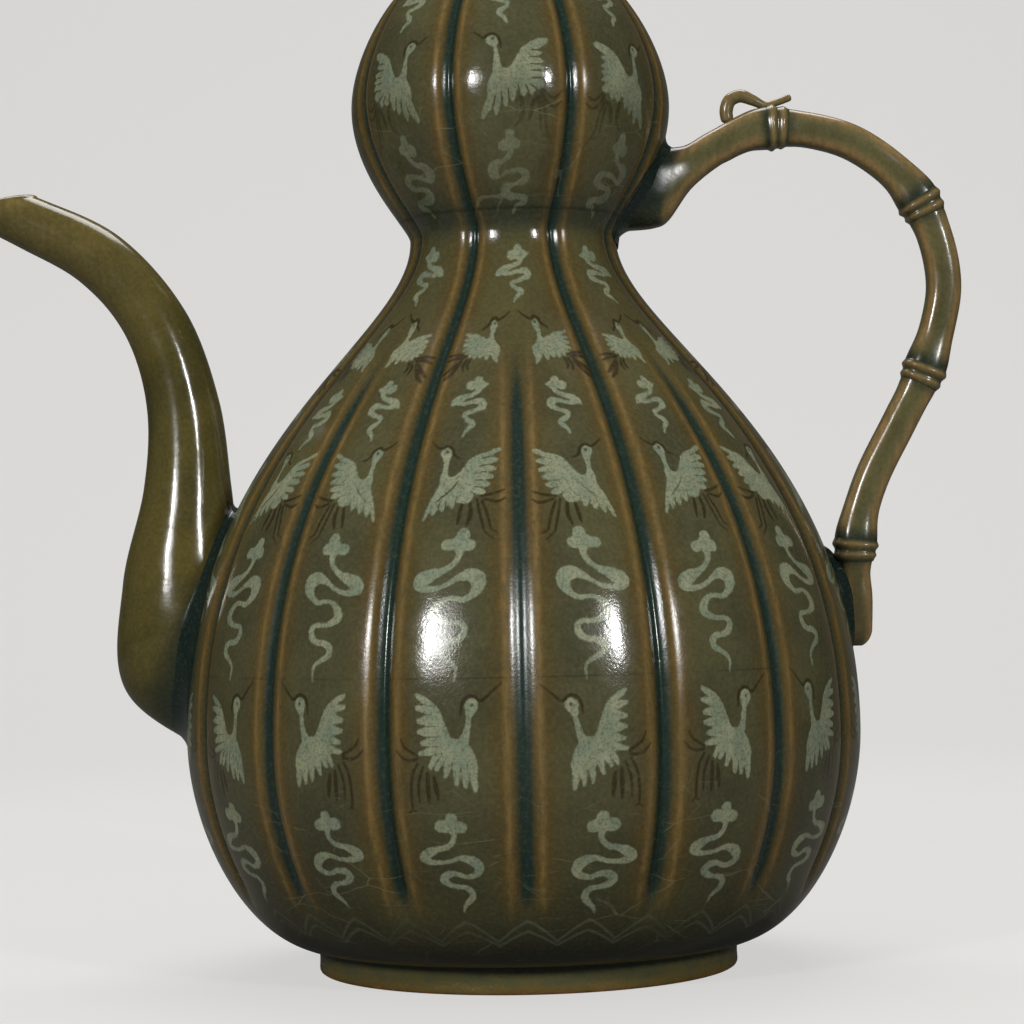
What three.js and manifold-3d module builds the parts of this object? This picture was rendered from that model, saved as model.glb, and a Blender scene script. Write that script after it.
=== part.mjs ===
// A gourd-shaped celadon ewer with a bamboo handle, an S-shaped spout and a lid.
// Millimetres, +Z up. The origin is the centre of the plane that the foot stands on.
// The spout points along -X and the handle along +X.
import * as THREE from "three";
import { mergeVertices } from "three/addons/utils/BufferGeometryUtils.js";
import Module from "manifold-3d";

const wasm = await Module();
wasm.setup();

// Clearances
const SEAT_GAP = 0.3; // between a luted piece and the one that carries it
const LID_GAP = 0.3; // between the lip and the lid that rests on it
const PLUG_CLEARANCE = 0.5; // between the neck's bore and the lid's plug, all round

// Foot ring
const FOOT_RADIUS = 60.5;
const FOOT_HEIGHT = 7.5;
const FOOT_WIDTH = 6.5; // from the outside to the inside of the ring
const FOOT_EDGE = 1.6; // rounding of the outer bottom edge
const BASE_RECESS = 2.2; // the base's underside above the table

// Gourd: radii over the lobes, heights above the table
const BELLY_RADIUS = 97;
const BELLY_HEIGHT = 68;
const WAIST_RADIUS = 29.8;
const WAIST_HEIGHT = 210;
const CROWN_RADIUS = 46;
const CROWN_RISE = 38; // from the waist to the upper bulb's widest place
const SHOULDER_RADIUS = 16; // where the upper bulb ends under the neck
const SHOULDER_RISE = 43.5; // from there to the neck
const CROWN_HEIGHT = WAIST_HEIGHT + CROWN_RISE;
const SHOULDER_HEIGHT = CROWN_HEIGHT + SHOULDER_RISE;
const SEAM_HEIGHT = WAIST_HEIGHT + 2; // where the two bulbs are luted together
const WALL = 6; // from the top of a lobe to the smooth inside
const FLOOR = 6.3; // thickness of the base

// Pull of each outline curve at its start and at its end
const BASE_PULL = [19.2, 28.5];
const BODY_PULL = [86, 28];
const CROWN_PULL = [3.7, 19.2];
const TOP_PULL = [17.2, 14];

// Grooves between the lobes: eight run the full height, eight more stop on the shoulder
const FULL_GROOVES = 8;
const GROOVE_DEPTH = 3.1;
const GROOVE_HALF_WIDTH = 2.5; // at the belly
const RIDGE_HEIGHT = 0.7; // the raised edges beside a groove
const RIDGE_OFFSET = 5.2;
const RIDGE_HALF_WIDTH = 2.6;
const NARROWING = 0.4; // share of the groove's width that goes with the radius
const GROOVE_FOOT = [20, 34]; // heights between which every groove comes in
// Heights between which the short grooves and the long ones taper out
const HALF_GROOVE_END = [WAIST_HEIGHT - 60, WAIST_HEIGHT - 23];
const FULL_GROOVE_END = [SHOULDER_HEIGHT - 11.5, SHOULDER_HEIGHT];

// Neck
const NECK_RADIUS = 12.5;
const NECK_BORE = 9.5;
const NECK_HEIGHT = 19.5;
const LIP_RADIUS = 14.5;

// The foot, belly, waist, crown and shoulder, as [radius, z], beside which the lines of the
// spout and the handle are drawn below. The lines move with the outline when it changes.
const DRAWN_BESIDE = [[60.5, 7.5], [97, 68], [29.8, 210], [46, 248], [16, 291.5]];

// Spout: its outer bend and its inner bend, from the mouth to the root, as [x, z]
const SPOUT_OUTER_BEND = [
  [-157, 232.5], [-136.3, 224.9], [-113.9, 213.5], [-95.6, 191.9], [-86.3, 165.6],
  [-83.3, 140.9], [-82.3, 131.5], [-80, 124], [-72, 120],
];
const SPOUT_INNER_BEND = [
  [-163, 221.5], [-143, 211], [-125.8, 200.7], [-113.1, 185.1], [-107.2, 163.8],
  [-108.6, 140], [-115.2, 112.6], [-115, 82], [-86, 60],
];
const SPOUT_HALF_BREADTH = [8.1, 8.1, 8.7, 9.4, 10.5, 12.4, 15.5, 18, 19]; // along Y
const SPOUT_WALL = 3.4;
const MOUTH_BACK = [-141.5, 224.6]; // the mouth's cut runs from here
const MOUTH_TIP = [-161.4, 220.4]; // to the tip of the spout
const POUR_HOLE_RADIUS = 9;
const POUR_HOLE_HEIGHT = 97;

// Handle: centre line as [x, z], with the places of its four nodes in the line
const HANDLE_LINE = [
  [57, 234.4], [69.3, 240.1], [77.2, 241], [88.7, 239.6], [99.8, 235.7], [112.3, 226.2],
  [118.8, 217.1], [123, 205.8], [124.5, 194.4], [123, 184.6], [117.7, 168.4],
  [110.9, 155.2], [102.6, 139.3], [98.6, 127.6], [97.2, 118.1], [97.3, 106], [97.2, 90.4],
];
const NODE_PLACES = [2, 6, 10, 14];
const CULM_HALF_THICKNESS = 5;
const CULM_SWELL = 0.4; // where a culm meets a node
const CULM_SWELL_LENGTH = 4;
const CULM_SQUARENESS = 3; // exponent of the section: 2 is round
const NODE_LENGTH = 6;
const NODE_RISE = 1; // the node's rings over the culm
const NODE_RING_SPACING = 3;
const NODE_RING_WIDTH = 0.95;
const END_HALF_THICKNESS = 4.2; // at the lower end, which lies on the body
const END_ROUNDING = 5; // length over which that end is rounded off
// The flared upper root: its top and bottom as [x, z], from inside the bulb outwards
const ROOT_TOP = [[30, 234], [41, 235.5], [46.7, 235.8], [51, 236.6]];
const ROOT_BOTTOM = [[30, 212], [41.2, 212.8], [45, 214.6], [52.2, 224.1]];
const ROOT_HALF_BREADTH = [8.5, 7.6, 6.6, 5.4];

// Curled strip on the handle, as [x, z]
const TENDRIL_LINE = [
  [63, 242.6], [62.6, 246.3], [63.7, 249.2], [66.7, 250.45], [70, 249.3], [73.9, 247.6],
  [77.7, 248.5], [81.5, 249.9],
];
const TENDRIL_RADII = [1.8, 1.85, 1.75, 1.6, 1.35, 0.95, 0.95, 1.05]; // along it

// Luting: width and thickness of the slip round a joint
const SPOUT_LUTING = [3.4, 4.5];
const HANDLE_LUTING = [1.8, 2.2];

// Lid
const LID_RADIUS = 18;
const LID_RIM = 3.2; // height of its rolled rim
const LID_DOME = 14; // height over the rim
const LID_LOBES = 8;
const LID_GROOVE = 1.1;
const LID_WALL = 4;
const PLUG_DEPTH = 7;
const PLUG_WALL = 2.4;
const STEM_RADII = [3.6, 2.3, 2.9]; // at its base, its middle and its cut end
const STEM_LINE = [[0, -2], [-0.6, 6], [-2.6, 12], [-6, 16.5]]; // from the dome's top
const LID_LOOP_RADIUS = 3.1;
const LID_LOOP_STRIP = 1.2;

// Steps of the meshes
const RING_STEPS = 16; // sides of the handle and the spout
const LOWER_COLUMNS = [0, 0.27, 0.55, 1, -0.55, -0.27]; // shares of half a lobe
const UPPER_COLUMNS = [0, 0.14, 0.3, 0.6, 1, -0.6, -0.3, -0.14];
const ROUND_STEPS = 48;

// ---- small helpers

// A smooth step from 0 at low to 1 at high.
const ramp = (value, low, high) => THREE.MathUtils.smoothstep(value, low, high);

const range = (count) => Array.from({ length: count }, (_, i) => i);

// A point of the plane y = 0, written as [x, z].
const inPlane = ([x, z]) => new THREE.Vector3(x, 0, z);

// A smooth curve through points of that plane.
const lineThrough = (points) =>
  new THREE.CatmullRomCurve3(points.map(inPlane), false, "centripetal");

// A value read between the entries of a list, at a share of its length.
function blend(list, share) {
  const place = share * (list.length - 1);
  const i = Math.min(Math.floor(place), list.length - 2);
  return THREE.MathUtils.lerp(list[i], list[i + 1], place - i);
}

// ---- solids

// A closed solid of a geometry, and the geometry of a solid.
function solidOf(geometry) {
  const positions = new THREE.BufferGeometry();
  positions.setAttribute("position", geometry.getAttribute("position"));
  positions.setIndex(geometry.index);
  const merged = mergeVertices(positions, 1e-4);
  return new wasm.Manifold(
    new wasm.Mesh({
      numProp: 3,
      vertProperties: merged.attributes.position.array,
      triVerts: new Uint32Array(merged.index.array),
    }),
  );
}

function geometryOf(solid) {
  const mesh = solid.getMesh();
  const geometry = new THREE.BufferGeometry();
  geometry.setAttribute("position", new THREE.BufferAttribute(mesh.vertProperties, 3));
  geometry.setIndex(new THREE.BufferAttribute(mesh.triVerts, 1));
  const flat = geometry.toNonIndexed();
  flat.computeVertexNormals();
  return flat;
}

// A skin over a row of rings with equally many points, with a flat cap at each end.
function skin(rings) {
  const sides = rings[0].length;
  const points = rings.flat();
  const faces = [];
  for (let i = 0; i < rings.length - 1; i++) {
    for (let j = 0; j < sides; j++) {
      const a = i * sides + j;
      const b = i * sides + ((j + 1) % sides);
      faces.push(a, b, b + sides, a, b + sides, a + sides);
    }
  }
  for (const [first, order] of [[0, -1], [(rings.length - 1) * sides, 1]]) {
    const centre = new THREE.Vector3();
    range(sides).forEach((j) => centre.addScaledVector(points[first + j], 1 / sides));
    const hub = points.push(centre) - 1;
    for (let j = 0; j < sides; j++) {
      const a = first + j;
      const b = first + ((j + 1) % sides);
      faces.push(...(order > 0 ? [hub, a, b] : [hub, b, a]));
    }
  }
  const geometry = new THREE.BufferGeometry().setFromPoints(points);
  geometry.setIndex(faces);
  const solid = solidOf(geometry);
  return solid.volume() < 0 ? solidOf(flipped(geometry)) : solid;
}

// The same faces, turned the other way round.
function flipped(geometry) {
  const index = Array.from(geometry.index.array);
  geometry.setIndex(index.map((_, i) => index[i - (i % 3) + (2 - (i % 3))]));
  return geometry;
}

// A solid turned about Z from a closed outline of [radius, z] pairs, drawn anticlockwise.
function turned(outline, steps = ROUND_STEPS) {
  const points = [...outline, outline[0]].map(([r, z]) => new THREE.Vector2(r, z));
  const geometry = new THREE.LatheGeometry(points, steps);
  geometry.rotateX(Math.PI / 2);
  const solid = solidOf(geometry);
  return solid.volume() < 0 ? solidOf(flipped(geometry)) : solid;
}

// ---- the gourd's outline and its lobes

const curve = (...points) =>
  new THREE.CubicBezierCurve(...points.map(([r, z]) => new THREE.Vector2(r, z)));

// The gourd's outline from its foot up, through [radius, z] pairs.
function outlineCurves(foot, belly, waist, crown, shoulder) {
  const above = ([r, z], rise) => [r, z + rise];
  return [
    curve(foot, [foot[0] + BASE_PULL[0], foot[1] + 0.6], above(belly, -BASE_PULL[1]), belly),
    curve(belly, above(belly, BODY_PULL[0]), above(waist, -BODY_PULL[1]), waist),
    curve(waist, above(waist, CROWN_PULL[0]), above(crown, -CROWN_PULL[1]), crown),
    curve(
      crown, above(crown, TOP_PULL[0]), [shoulder[0] + TOP_PULL[1], shoulder[1] - 1.5], shoulder,
    ),
  ];
}

const [baseCurve, bodyCurve, crownCurve, topCurve] = outlineCurves(
  [FOOT_RADIUS, FOOT_HEIGHT], [BELLY_RADIUS, BELLY_HEIGHT], [WAIST_RADIUS, WAIST_HEIGHT],
  [CROWN_RADIUS, CROWN_HEIGHT], [SHOULDER_RADIUS, SHOULDER_HEIGHT],
);

const outlineNow = [baseCurve, bodyCurve, crownCurve, topCurve].flatMap((c) => c.getPoints(60));
const outlineDrawn = outlineCurves(...DRAWN_BESIDE).flatMap((c) => c.getPoints(60));

// A drawn point [x, z], moved as far as the outline beside it has moved.
function follow([x, z]) {
  const over = outlineDrawn.findIndex((p) => p.y >= z);
  const i = over < 0 ? outlineDrawn.length - 1 : over;
  const moved = outlineNow[i].clone().sub(outlineDrawn[i]);
  return [x + Math.sign(x) * moved.x, z + moved.y];
}

const lineBeside = (points) => lineThrough(points.map(follow));

// The height over the smooth gourd at a distance along the surface from a groove's middle.
function grooveSection(distance, radius) {
  const scale = 1 - NARROWING + (NARROWING * radius) / BELLY_RADIUS;
  const dip = Math.exp(-((distance / (GROOVE_HALF_WIDTH * scale)) ** 2));
  const beside = (distance - RIDGE_OFFSET * scale) / (RIDGE_HALF_WIDTH * scale);
  return scale * (RIDGE_HEIGHT * Math.exp(-(beside ** 2)) - GROOVE_DEPTH * dip);
}

// The angle to the nearest of the eight long grooves, or of the eight short ones.
const pitch = (2 * Math.PI) / FULL_GROOVES;
const toLongGroove = (angle) => Math.abs(THREE.MathUtils.euclideanModulo(angle, pitch) - pitch / 2);
const toShortGroove = (angle) => toLongGroove(angle + pitch / 2);

// The height over the smooth gourd at an angle, a radius and a height.
function relief(angle, radius, z) {
  const low = ramp(z, ...GROOVE_FOOT);
  const long = low * (1 - ramp(z, ...FULL_GROOVE_END));
  const short = low * (1 - ramp(z, ...HALF_GROOVE_END));
  return (
    long * grooveSection(toLongGroove(angle) * radius, radius) +
    short * grooveSection(toShortGroove(angle) * radius, radius)
  );
}

// Angles of the columns: the same shares of each lobe's half width, lobe after lobe.
function lobeAngles(lobes, shares) {
  const half = Math.PI / lobes;
  const upwards = [...shares.filter((s) => s >= 0), ...shares.filter((s) => s < 0)];
  return range(lobes).flatMap((k) =>
    upwards.map((s) => (2 * k + 1) * half + (s >= 0 ? s : 2 + s) * half),
  );
}

// One ring of a bulb: lobed where grown is the distance over the lobes.
function lobedRing({ x: radius, y: z }, angles, grown = 0) {
  return angles.map((angle) => {
    const r = radius + grown + relief(angle, radius, z);
    return new THREE.Vector3(r * Math.cos(angle), r * Math.sin(angle), z);
  });
}

function roundRing(radius, z, steps = ROUND_STEPS) {
  return range(steps).map((j) => {
    const angle = (2 * Math.PI * j) / steps;
    return new THREE.Vector3(radius * Math.cos(angle), radius * Math.sin(angle), z);
  });
}

// The points of several curves in a row, each with its own number of steps.
function along(...parts) {
  return parts.flatMap(([line, steps], i) =>
    range(steps + 1).slice(i ? 1 : 0).map((k) => line.getPoint(k / steps)),
  );
}

// The point of an outline at a height, between its samples.
function atHeight(samples, z) {
  const i = Math.max(1, samples.findIndex((p) => p.y >= z));
  const share = (z - samples[i - 1].y) / (samples[i].y - samples[i - 1].y);
  return new THREE.Vector2().lerpVectors(samples[i - 1], samples[i], share);
}

const lowerAngles = lobeAngles(2 * FULL_GROOVES, LOWER_COLUMNS);
const upperAngles = lobeAngles(FULL_GROOVES, UPPER_COLUMNS);
const lowerSamples = along([baseCurve, 9], [bodyCurve, 15], [crownCurve, 24]);
const upperSamples = along([crownCurve, 9], [topCurve, 9]);

const seamPoint = atHeight(lowerSamples, SEAM_HEIGHT);
const lowerOutline = [...lowerSamples.filter((p) => p.y < SEAM_HEIGHT - 0.5), seamPoint];
const upperOutline = [seamPoint, ...upperSamples.filter((p) => p.y > SEAM_HEIGHT + 0.5)];

// The filled bulbs, grown outwards by a distance.
const fullLowerBulb = (grown = 0) =>
  skin(lowerOutline.map((p) => lobedRing(p, lowerAngles, grown)));
const fullUpperBulb = (grown = 0) =>
  skin(upperOutline.map((p) => lobedRing(p, upperAngles, grown)));

// ---- vessel

function footRing() {
  const inside = FOOT_RADIUS - FOOT_WIDTH;
  const edge = range(5).map((k) => {
    const angle = -Math.PI / 2 + (k * Math.PI) / 8;
    return [
      FOOT_RADIUS - FOOT_EDGE + FOOT_EDGE * Math.cos(angle),
      FOOT_EDGE + FOOT_EDGE * Math.sin(angle),
    ];
  });
  return turned(
    [[inside + 0.6, 0], ...edge, [FOOT_RADIUS, FOOT_HEIGHT], [inside, FOOT_HEIGHT], [inside, 0.6]],
    72,
  );
}

// The base dips inside the foot ring down to the recess.
function lowerBulb() {
  const dip = FOOT_RADIUS - FOOT_WIDTH - SEAT_GAP;
  const base = turned([[0, BASE_RECESS], [dip, BASE_RECESS], [dip, FOOT_HEIGHT + 1],
    [0, FOOT_HEIGHT + 1]], 72);
  const floor = BASE_RECESS + FLOOR;
  const samples = along([baseCurve, 6], [bodyCurve, 9], [crownCurve, 24]);
  const walls = samples
    .filter((p) => p.y > floor + 4 && p.y < SEAM_HEIGHT - 0.5)
    .map((p) => roundRing(p.x - WALL, p.y));
  const inside = skin([
    roundRing(FOOT_RADIUS - WALL, floor),
    ...walls,
    roundRing(seamPoint.x - WALL, SEAM_HEIGHT + 1),
  ]);
  const hole = wasm.Manifold.cylinder(BELLY_RADIUS, POUR_HOLE_RADIUS, POUR_HOLE_RADIUS, 20)
    .rotate([0, -90, 0])
    .translate([-CROWN_RADIUS, 0, follow([0, POUR_HOLE_HEIGHT])[1]]);
  return fullLowerBulb().add(base).subtract(inside).subtract(hole);
}

function upperBulb() {
  const samples = along([crownCurve, 7], [topCurve, 8]);
  const top = SHOULDER_HEIGHT - WALL;
  const walls = samples
    .filter((p) => p.y > SEAM_HEIGHT + 2 && p.y < top && p.x - WALL > NECK_BORE)
    .map((p) => roundRing(p.x - WALL, Math.min(p.y, top), 32));
  const inside = skin([
    roundRing(seamPoint.x - WALL, SEAM_HEIGHT - 1, 32),
    ...walls,
    roundRing(NECK_BORE, top, 32),
    roundRing(NECK_BORE, SHOULDER_HEIGHT + 1, 32),
  ]);
  return fullUpperBulb().subtract(inside);
}

const MOUTH_HEIGHT = SHOULDER_HEIGHT + NECK_HEIGHT;

function neck() {
  const fillet = range(5).map((k) => {
    const angle = (k * Math.PI) / 8;
    const size = SHOULDER_RADIUS - NECK_RADIUS;
    return [
      SHOULDER_RADIUS - size * Math.sin(angle),
      SHOULDER_HEIGHT + size * (1 - Math.cos(angle)) + 0.4,
    ];
  });
  return turned([
    [NECK_BORE, SHOULDER_HEIGHT], [SHOULDER_RADIUS, SHOULDER_HEIGHT], ...fillet,
    [NECK_RADIUS, MOUTH_HEIGHT - 7], [NECK_RADIUS + 0.6, MOUTH_HEIGHT - 4],
    [LIP_RADIUS, MOUTH_HEIGHT - 1.8], [LIP_RADIUS, MOUTH_HEIGHT - 0.6],
    [LIP_RADIUS - 0.8, MOUTH_HEIGHT], [NECK_BORE + 0.6, MOUTH_HEIGHT],
    [NECK_BORE, MOUTH_HEIGHT - 0.6],
  ]);
}

// ---- tubes

// One ring of a tube: centre, half size in the plane y = 0 and half size along Y.
// An exponent of 2 gives an ellipse, a higher one a rounded square.
function section(centre, half, breadth, exponent = 2) {
  const power = (v) => Math.sign(v) * Math.abs(v) ** (2 / exponent);
  return range(RING_STEPS).map((j) => {
    const angle = (2 * Math.PI * j) / RING_STEPS;
    const point = centre.clone().addScaledVector(half, power(Math.cos(angle)));
    point.y += breadth * power(Math.sin(angle));
    return point;
  });
}

// The rings between two outlines of a tube, grown by a distance on all sides.
function ringsBetween(outer, inner, breadths, shares, grown, exponent) {
  return shares.map((share) => {
    const a = outer.getPoint(share);
    const b = inner.getPoint(share);
    const centre = a.clone().add(b).multiplyScalar(0.5);
    const half = a.sub(centre);
    half.setLength(half.length() + grown);
    return section(centre, half, blend(breadths, share) + grown, exponent);
  });
}

// The spout, filled, grown outwards by a distance.
function fullSpout(grown = 0, steps = 32) {
  const shares = range(steps + 1).map((k) => k / steps);
  return skin(ringsBetween(
    lineBeside(SPOUT_OUTER_BEND), lineBeside(SPOUT_INNER_BEND), SPOUT_HALF_BREADTH,
    shares, grown, 2,
  ));
}

// The half space over the mouth's slanted cut, as a thick slab.
function overMouth(solid) {
  const back = inPlane(follow(MOUTH_BACK));
  const cut = inPlane(follow(MOUTH_TIP)).sub(back);
  const down = new THREE.Vector3(-cut.z, 0, cut.x).normalize();
  return solid.trimByPlane(down.toArray(), down.dot(back));
}

function spout() {
  return overMouth(fullSpout())
    .subtract(fullSpout(-SPOUT_WALL))
    .subtract(fullLowerBulb(SEAT_GAP));
}

// Slip round a joint: a band that covers the gap, width along the body, thickness off it.
function luting(body, grownPiece, [width, thickness]) {
  return grownPiece(width)
    .intersect(body(thickness))
    .subtract(body(SEAT_GAP))
    .subtract(grownPiece(SEAT_GAP));
}

// ---- handle

const handleLine = lineBeside(HANDLE_LINE);
handleLine.arcLengthDivisions = 600;

// The distance along the handle's line to one of its points.
function lengthTo(index) {
  const lengths = handleLine.getLengths();
  return lengths[Math.round((index / (HANDLE_LINE.length - 1)) * (lengths.length - 1))];
}

const handleLength = handleLine.getLength();
const nodeLengths = NODE_PLACES.map(lengthTo);

// One ring of the handle at a distance along its line.
function handleRing(distance, half, grown = 0) {
  const share = THREE.MathUtils.clamp(distance / handleLength, 0, 1);
  const tangent = handleLine.getTangentAt(share);
  const normal = new THREE.Vector3(-tangent.z, 0, tangent.x).multiplyScalar(half + grown);
  return section(handleLine.getPointAt(share), normal, half + grown, CULM_SQUARENESS);
}

// A culm's half thickness near its two ends, where it swells to meet the nodes.
function culmHalf(distance, start, end) {
  const swell = (gap) => Math.exp(-((gap / CULM_SWELL_LENGTH) ** 2));
  return CULM_HALF_THICKNESS + CULM_SWELL * (swell(distance - start) + swell(end - distance));
}

// The flared root of the first culm, from inside the upper bulb to the handle's line.
function rootRings(grown) {
  const shares = range(8).map((k) => k / 7);
  return ringsBetween(
    lineBeside(ROOT_TOP), lineBeside(ROOT_BOTTOM), ROOT_HALF_BREADTH, shares, grown,
    CULM_SQUARENESS,
  );
}

// The last culm's half thickness as a share of a culm's: it narrows, and its end is round.
function lastCulmShare(distance, start, end) {
  const narrow = THREE.MathUtils.lerp(
    1, END_HALF_THICKNESS / CULM_HALF_THICKNESS, (distance - start) / (end - start),
  );
  const left = Math.min((end - distance) / END_ROUNDING, 1);
  return narrow * Math.sqrt(1 - 0.9 * (1 - left) ** 2);
}

// A culm, filled, from its number and grown outwards by a distance.
function fullCulm(number, grown = 0) {
  const start = number === 1 ? 0 : nodeLengths[number - 2] + NODE_LENGTH / 2;
  const last = number === nodeLengths.length + 1;
  const end = last ? handleLength : nodeLengths[number - 1] - NODE_LENGTH / 2;
  const steps = 2 + Math.ceil((end - start) / 5);
  const shares = range(steps + 1).map((k) => (last ? 1 - (1 - k / steps) ** 1.5 : k / steps));
  const rings = shares.map((share) => {
    const distance = THREE.MathUtils.lerp(start, end, share);
    const taper = last ? lastCulmShare(distance, start, end) : 1;
    return handleRing(distance, culmHalf(distance, start, last ? Infinity : end) * taper, grown);
  });
  return skin(number === 1 ? [...rootRings(grown), ...rings] : rings);
}

function culm(number) {
  const solid = fullCulm(number);
  if (number === 1) return solid.subtract(fullUpperBulb(SEAT_GAP));
  return number === nodeLengths.length + 1 ? solid.subtract(fullLowerBulb(SEAT_GAP)) : solid;
}

// A node: two rounded rings side by side.
function node(number, grown = 0) {
  const middle = nodeLengths[number - 1];
  const steps = 10;
  return skin(range(steps + 1).map((k) => {
    const offset = NODE_LENGTH * (k / steps - 0.5);
    const rings = [-0.5, 0.5].map((side) =>
      Math.exp(-(((offset - side * NODE_RING_SPACING) / NODE_RING_WIDTH) ** 2)));
    const half = CULM_HALF_THICKNESS + CULM_SWELL + NODE_RISE * (rings[0] + rings[1]);
    return handleRing(middle + offset, half, grown);
  }));
}

// A round tube along a line of the plane y = 0, with flat ends.
function roundTube(line, radiusAt, steps, sides = 8) {
  return skin(range(steps + 1).map((k) => {
    const tangent = line.getTangentAt(k / steps);
    const across = new THREE.Vector3(-tangent.z, 0, tangent.x);
    const radius = radiusAt(k / steps);
    return range(sides).map((j) => {
      const angle = (2 * Math.PI * j) / sides;
      const point = line.getPointAt(k / steps)
        .addScaledVector(across, radius * Math.cos(angle));
      point.y += radius * Math.sin(angle);
      return point;
    });
  }));
}

function tendrilLoop() {
  return roundTube(lineBeside(TENDRIL_LINE), (share) => blend(TENDRIL_RADII, share), 30)
    .subtract(fullCulm(1, SEAT_GAP))
    .subtract(node(1, SEAT_GAP))
    .subtract(fullCulm(2, SEAT_GAP));
}

// ---- lid

const LID_BASE = MOUTH_HEIGHT + LID_GAP;
const DOME_TOP = LID_BASE + LID_RIM + LID_DOME;
const PLUG_RADIUS = NECK_BORE - PLUG_CLEARANCE;

// The cap's outline over its rim, from the rim's neck to the top.
const domeCurve = curve(
  [LID_RADIUS - 1.6, LID_BASE + LID_RIM],
  [LID_RADIUS + 0.5, LID_BASE + LID_RIM + 0.55 * LID_DOME],
  [0.6 * LID_RADIUS, DOME_TOP - 0.5],
  [STEM_RADII[0] - 1, DOME_TOP],
);

function lidCap() {
  const angles = lobeAngles(LID_LOBES, [0, 0.4, 1, -0.4]);
  const rim = [[LID_RADIUS - 1.2, 0], [LID_RADIUS - 0.3, 0.5], [LID_RADIUS, 1.5],
    [LID_RADIUS - 0.6, 2.6]].map(([r, z]) => roundRing(r, LID_BASE + z, angles.length));
  const dome = range(9).map((k) => {
    const { x: radius, y: z } = domeCurve.getPoint(k / 8);
    const depth = LID_GROOVE * Math.sin((Math.PI * k) / 8);
    return angles.map((angle) => {
      const share = Math.abs(Math.cos((LID_LOBES * angle) / 2));
      const r = radius - depth * (1 - share) ** 2;
      return new THREE.Vector3(r * Math.cos(angle), r * Math.sin(angle), z);
    });
  });
  const hollow = turned([[0, LID_BASE - 1], [PLUG_RADIUS - PLUG_WALL, LID_BASE - 1],
    [PLUG_RADIUS - PLUG_WALL, DOME_TOP - 2 * LID_WALL],
    [0.5 * PLUG_RADIUS, DOME_TOP - LID_WALL], [0, DOME_TOP - LID_WALL]], 24);
  return skin([...rim, ...dome]).subtract(hollow);
}

function lidPlug() {
  const inside = PLUG_RADIUS - PLUG_WALL;
  return turned([[inside, LID_BASE - PLUG_DEPTH], [PLUG_RADIUS - 0.6, LID_BASE - PLUG_DEPTH],
    [PLUG_RADIUS, LID_BASE - PLUG_DEPTH + 1], [PLUG_RADIUS, LID_BASE], [inside, LID_BASE]], 32);
}

function lidStem() {
  const line = lineThrough(STEM_LINE.map(([x, z]) => [x, DOME_TOP + z]));
  return roundTube(line, (share) => blend(STEM_RADII, share), 12, 12)
    .trimByPlane([0, 0, 1], DOME_TOP);
}

// A small arch of the same strip as the handle's, on the side of the lid by the handle.
function lidLoop() {
  const { x: radius, y: z } = domeCurve.getPoint(0.5);
  const arc = range(9).map((k) => {
    const angle = ((k / 8) * 1.3 - 0.4) * Math.PI;
    return [radius + LID_LOOP_RADIUS * Math.cos(angle), z + 1.5 + LID_LOOP_RADIUS * Math.sin(angle)];
  });
  const cap = lidCap();
  return roundTube(lineThrough(arc), () => LID_LOOP_STRIP, 20)
    .subtract(cap.scale([1.02, 1.02, 1]).translate([0, 0, SEAT_GAP]))
    .subtract(cap);
}

// ---- glazes: colour, roughness and metalness of each piece

const OLIVE = 0x5d6043;
const TEAL = 0x2d4a42;
const GOLDEN = 0x74693f;
const RUST = 0x7a5a33;

const group = new THREE.Group();

function piece(name, solid, color, roughness = 0.18) {
  const material = new THREE.MeshStandardMaterial({ color, roughness, metalness: 0 });
  const mesh = new THREE.Mesh(geometryOf(solid), material);
  mesh.name = name;
  group.add(mesh);
}

piece("foot_ring", footRing(), RUST, 0.35);
piece("lower_bulb", lowerBulb(), OLIVE);
piece("upper_bulb", upperBulb(), OLIVE);
piece("neck", neck(), OLIVE);
piece("spout", spout(), GOLDEN);
piece("spout_luting", luting(fullLowerBulb, fullSpout, SPOUT_LUTING), TEAL);
for (let number = 1; number <= nodeLengths.length + 1; number++) {
  piece(`handle_culm_${number}`, culm(number), OLIVE);
}
for (let number = 1; number <= nodeLengths.length; number++) {
  piece(`handle_node_${number}`, node(number), GOLDEN);
}
piece(
  "handle_upper_luting",
  luting(fullUpperBulb, (grown) => fullCulm(1, grown), HANDLE_LUTING),
  TEAL,
);
piece(
  "handle_lower_luting",
  luting(fullLowerBulb, (grown) => fullCulm(nodeLengths.length + 1, grown), HANDLE_LUTING),
  TEAL,
);
piece("tendril_loop", tendrilLoop(), GOLDEN);
piece("lid_cap", lidCap(), OLIVE);
piece("lid_plug", lidPlug(), RUST, 0.5);
piece("lid_stem", lidStem(), GOLDEN);
piece("lid_loop", lidLoop(), GOLDEN);

export default group;
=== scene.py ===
"""Looks of the gourd-shaped ewer: glazed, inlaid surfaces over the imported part."""

import math

import bpy
import numpy as np
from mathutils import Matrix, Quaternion, Vector


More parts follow.
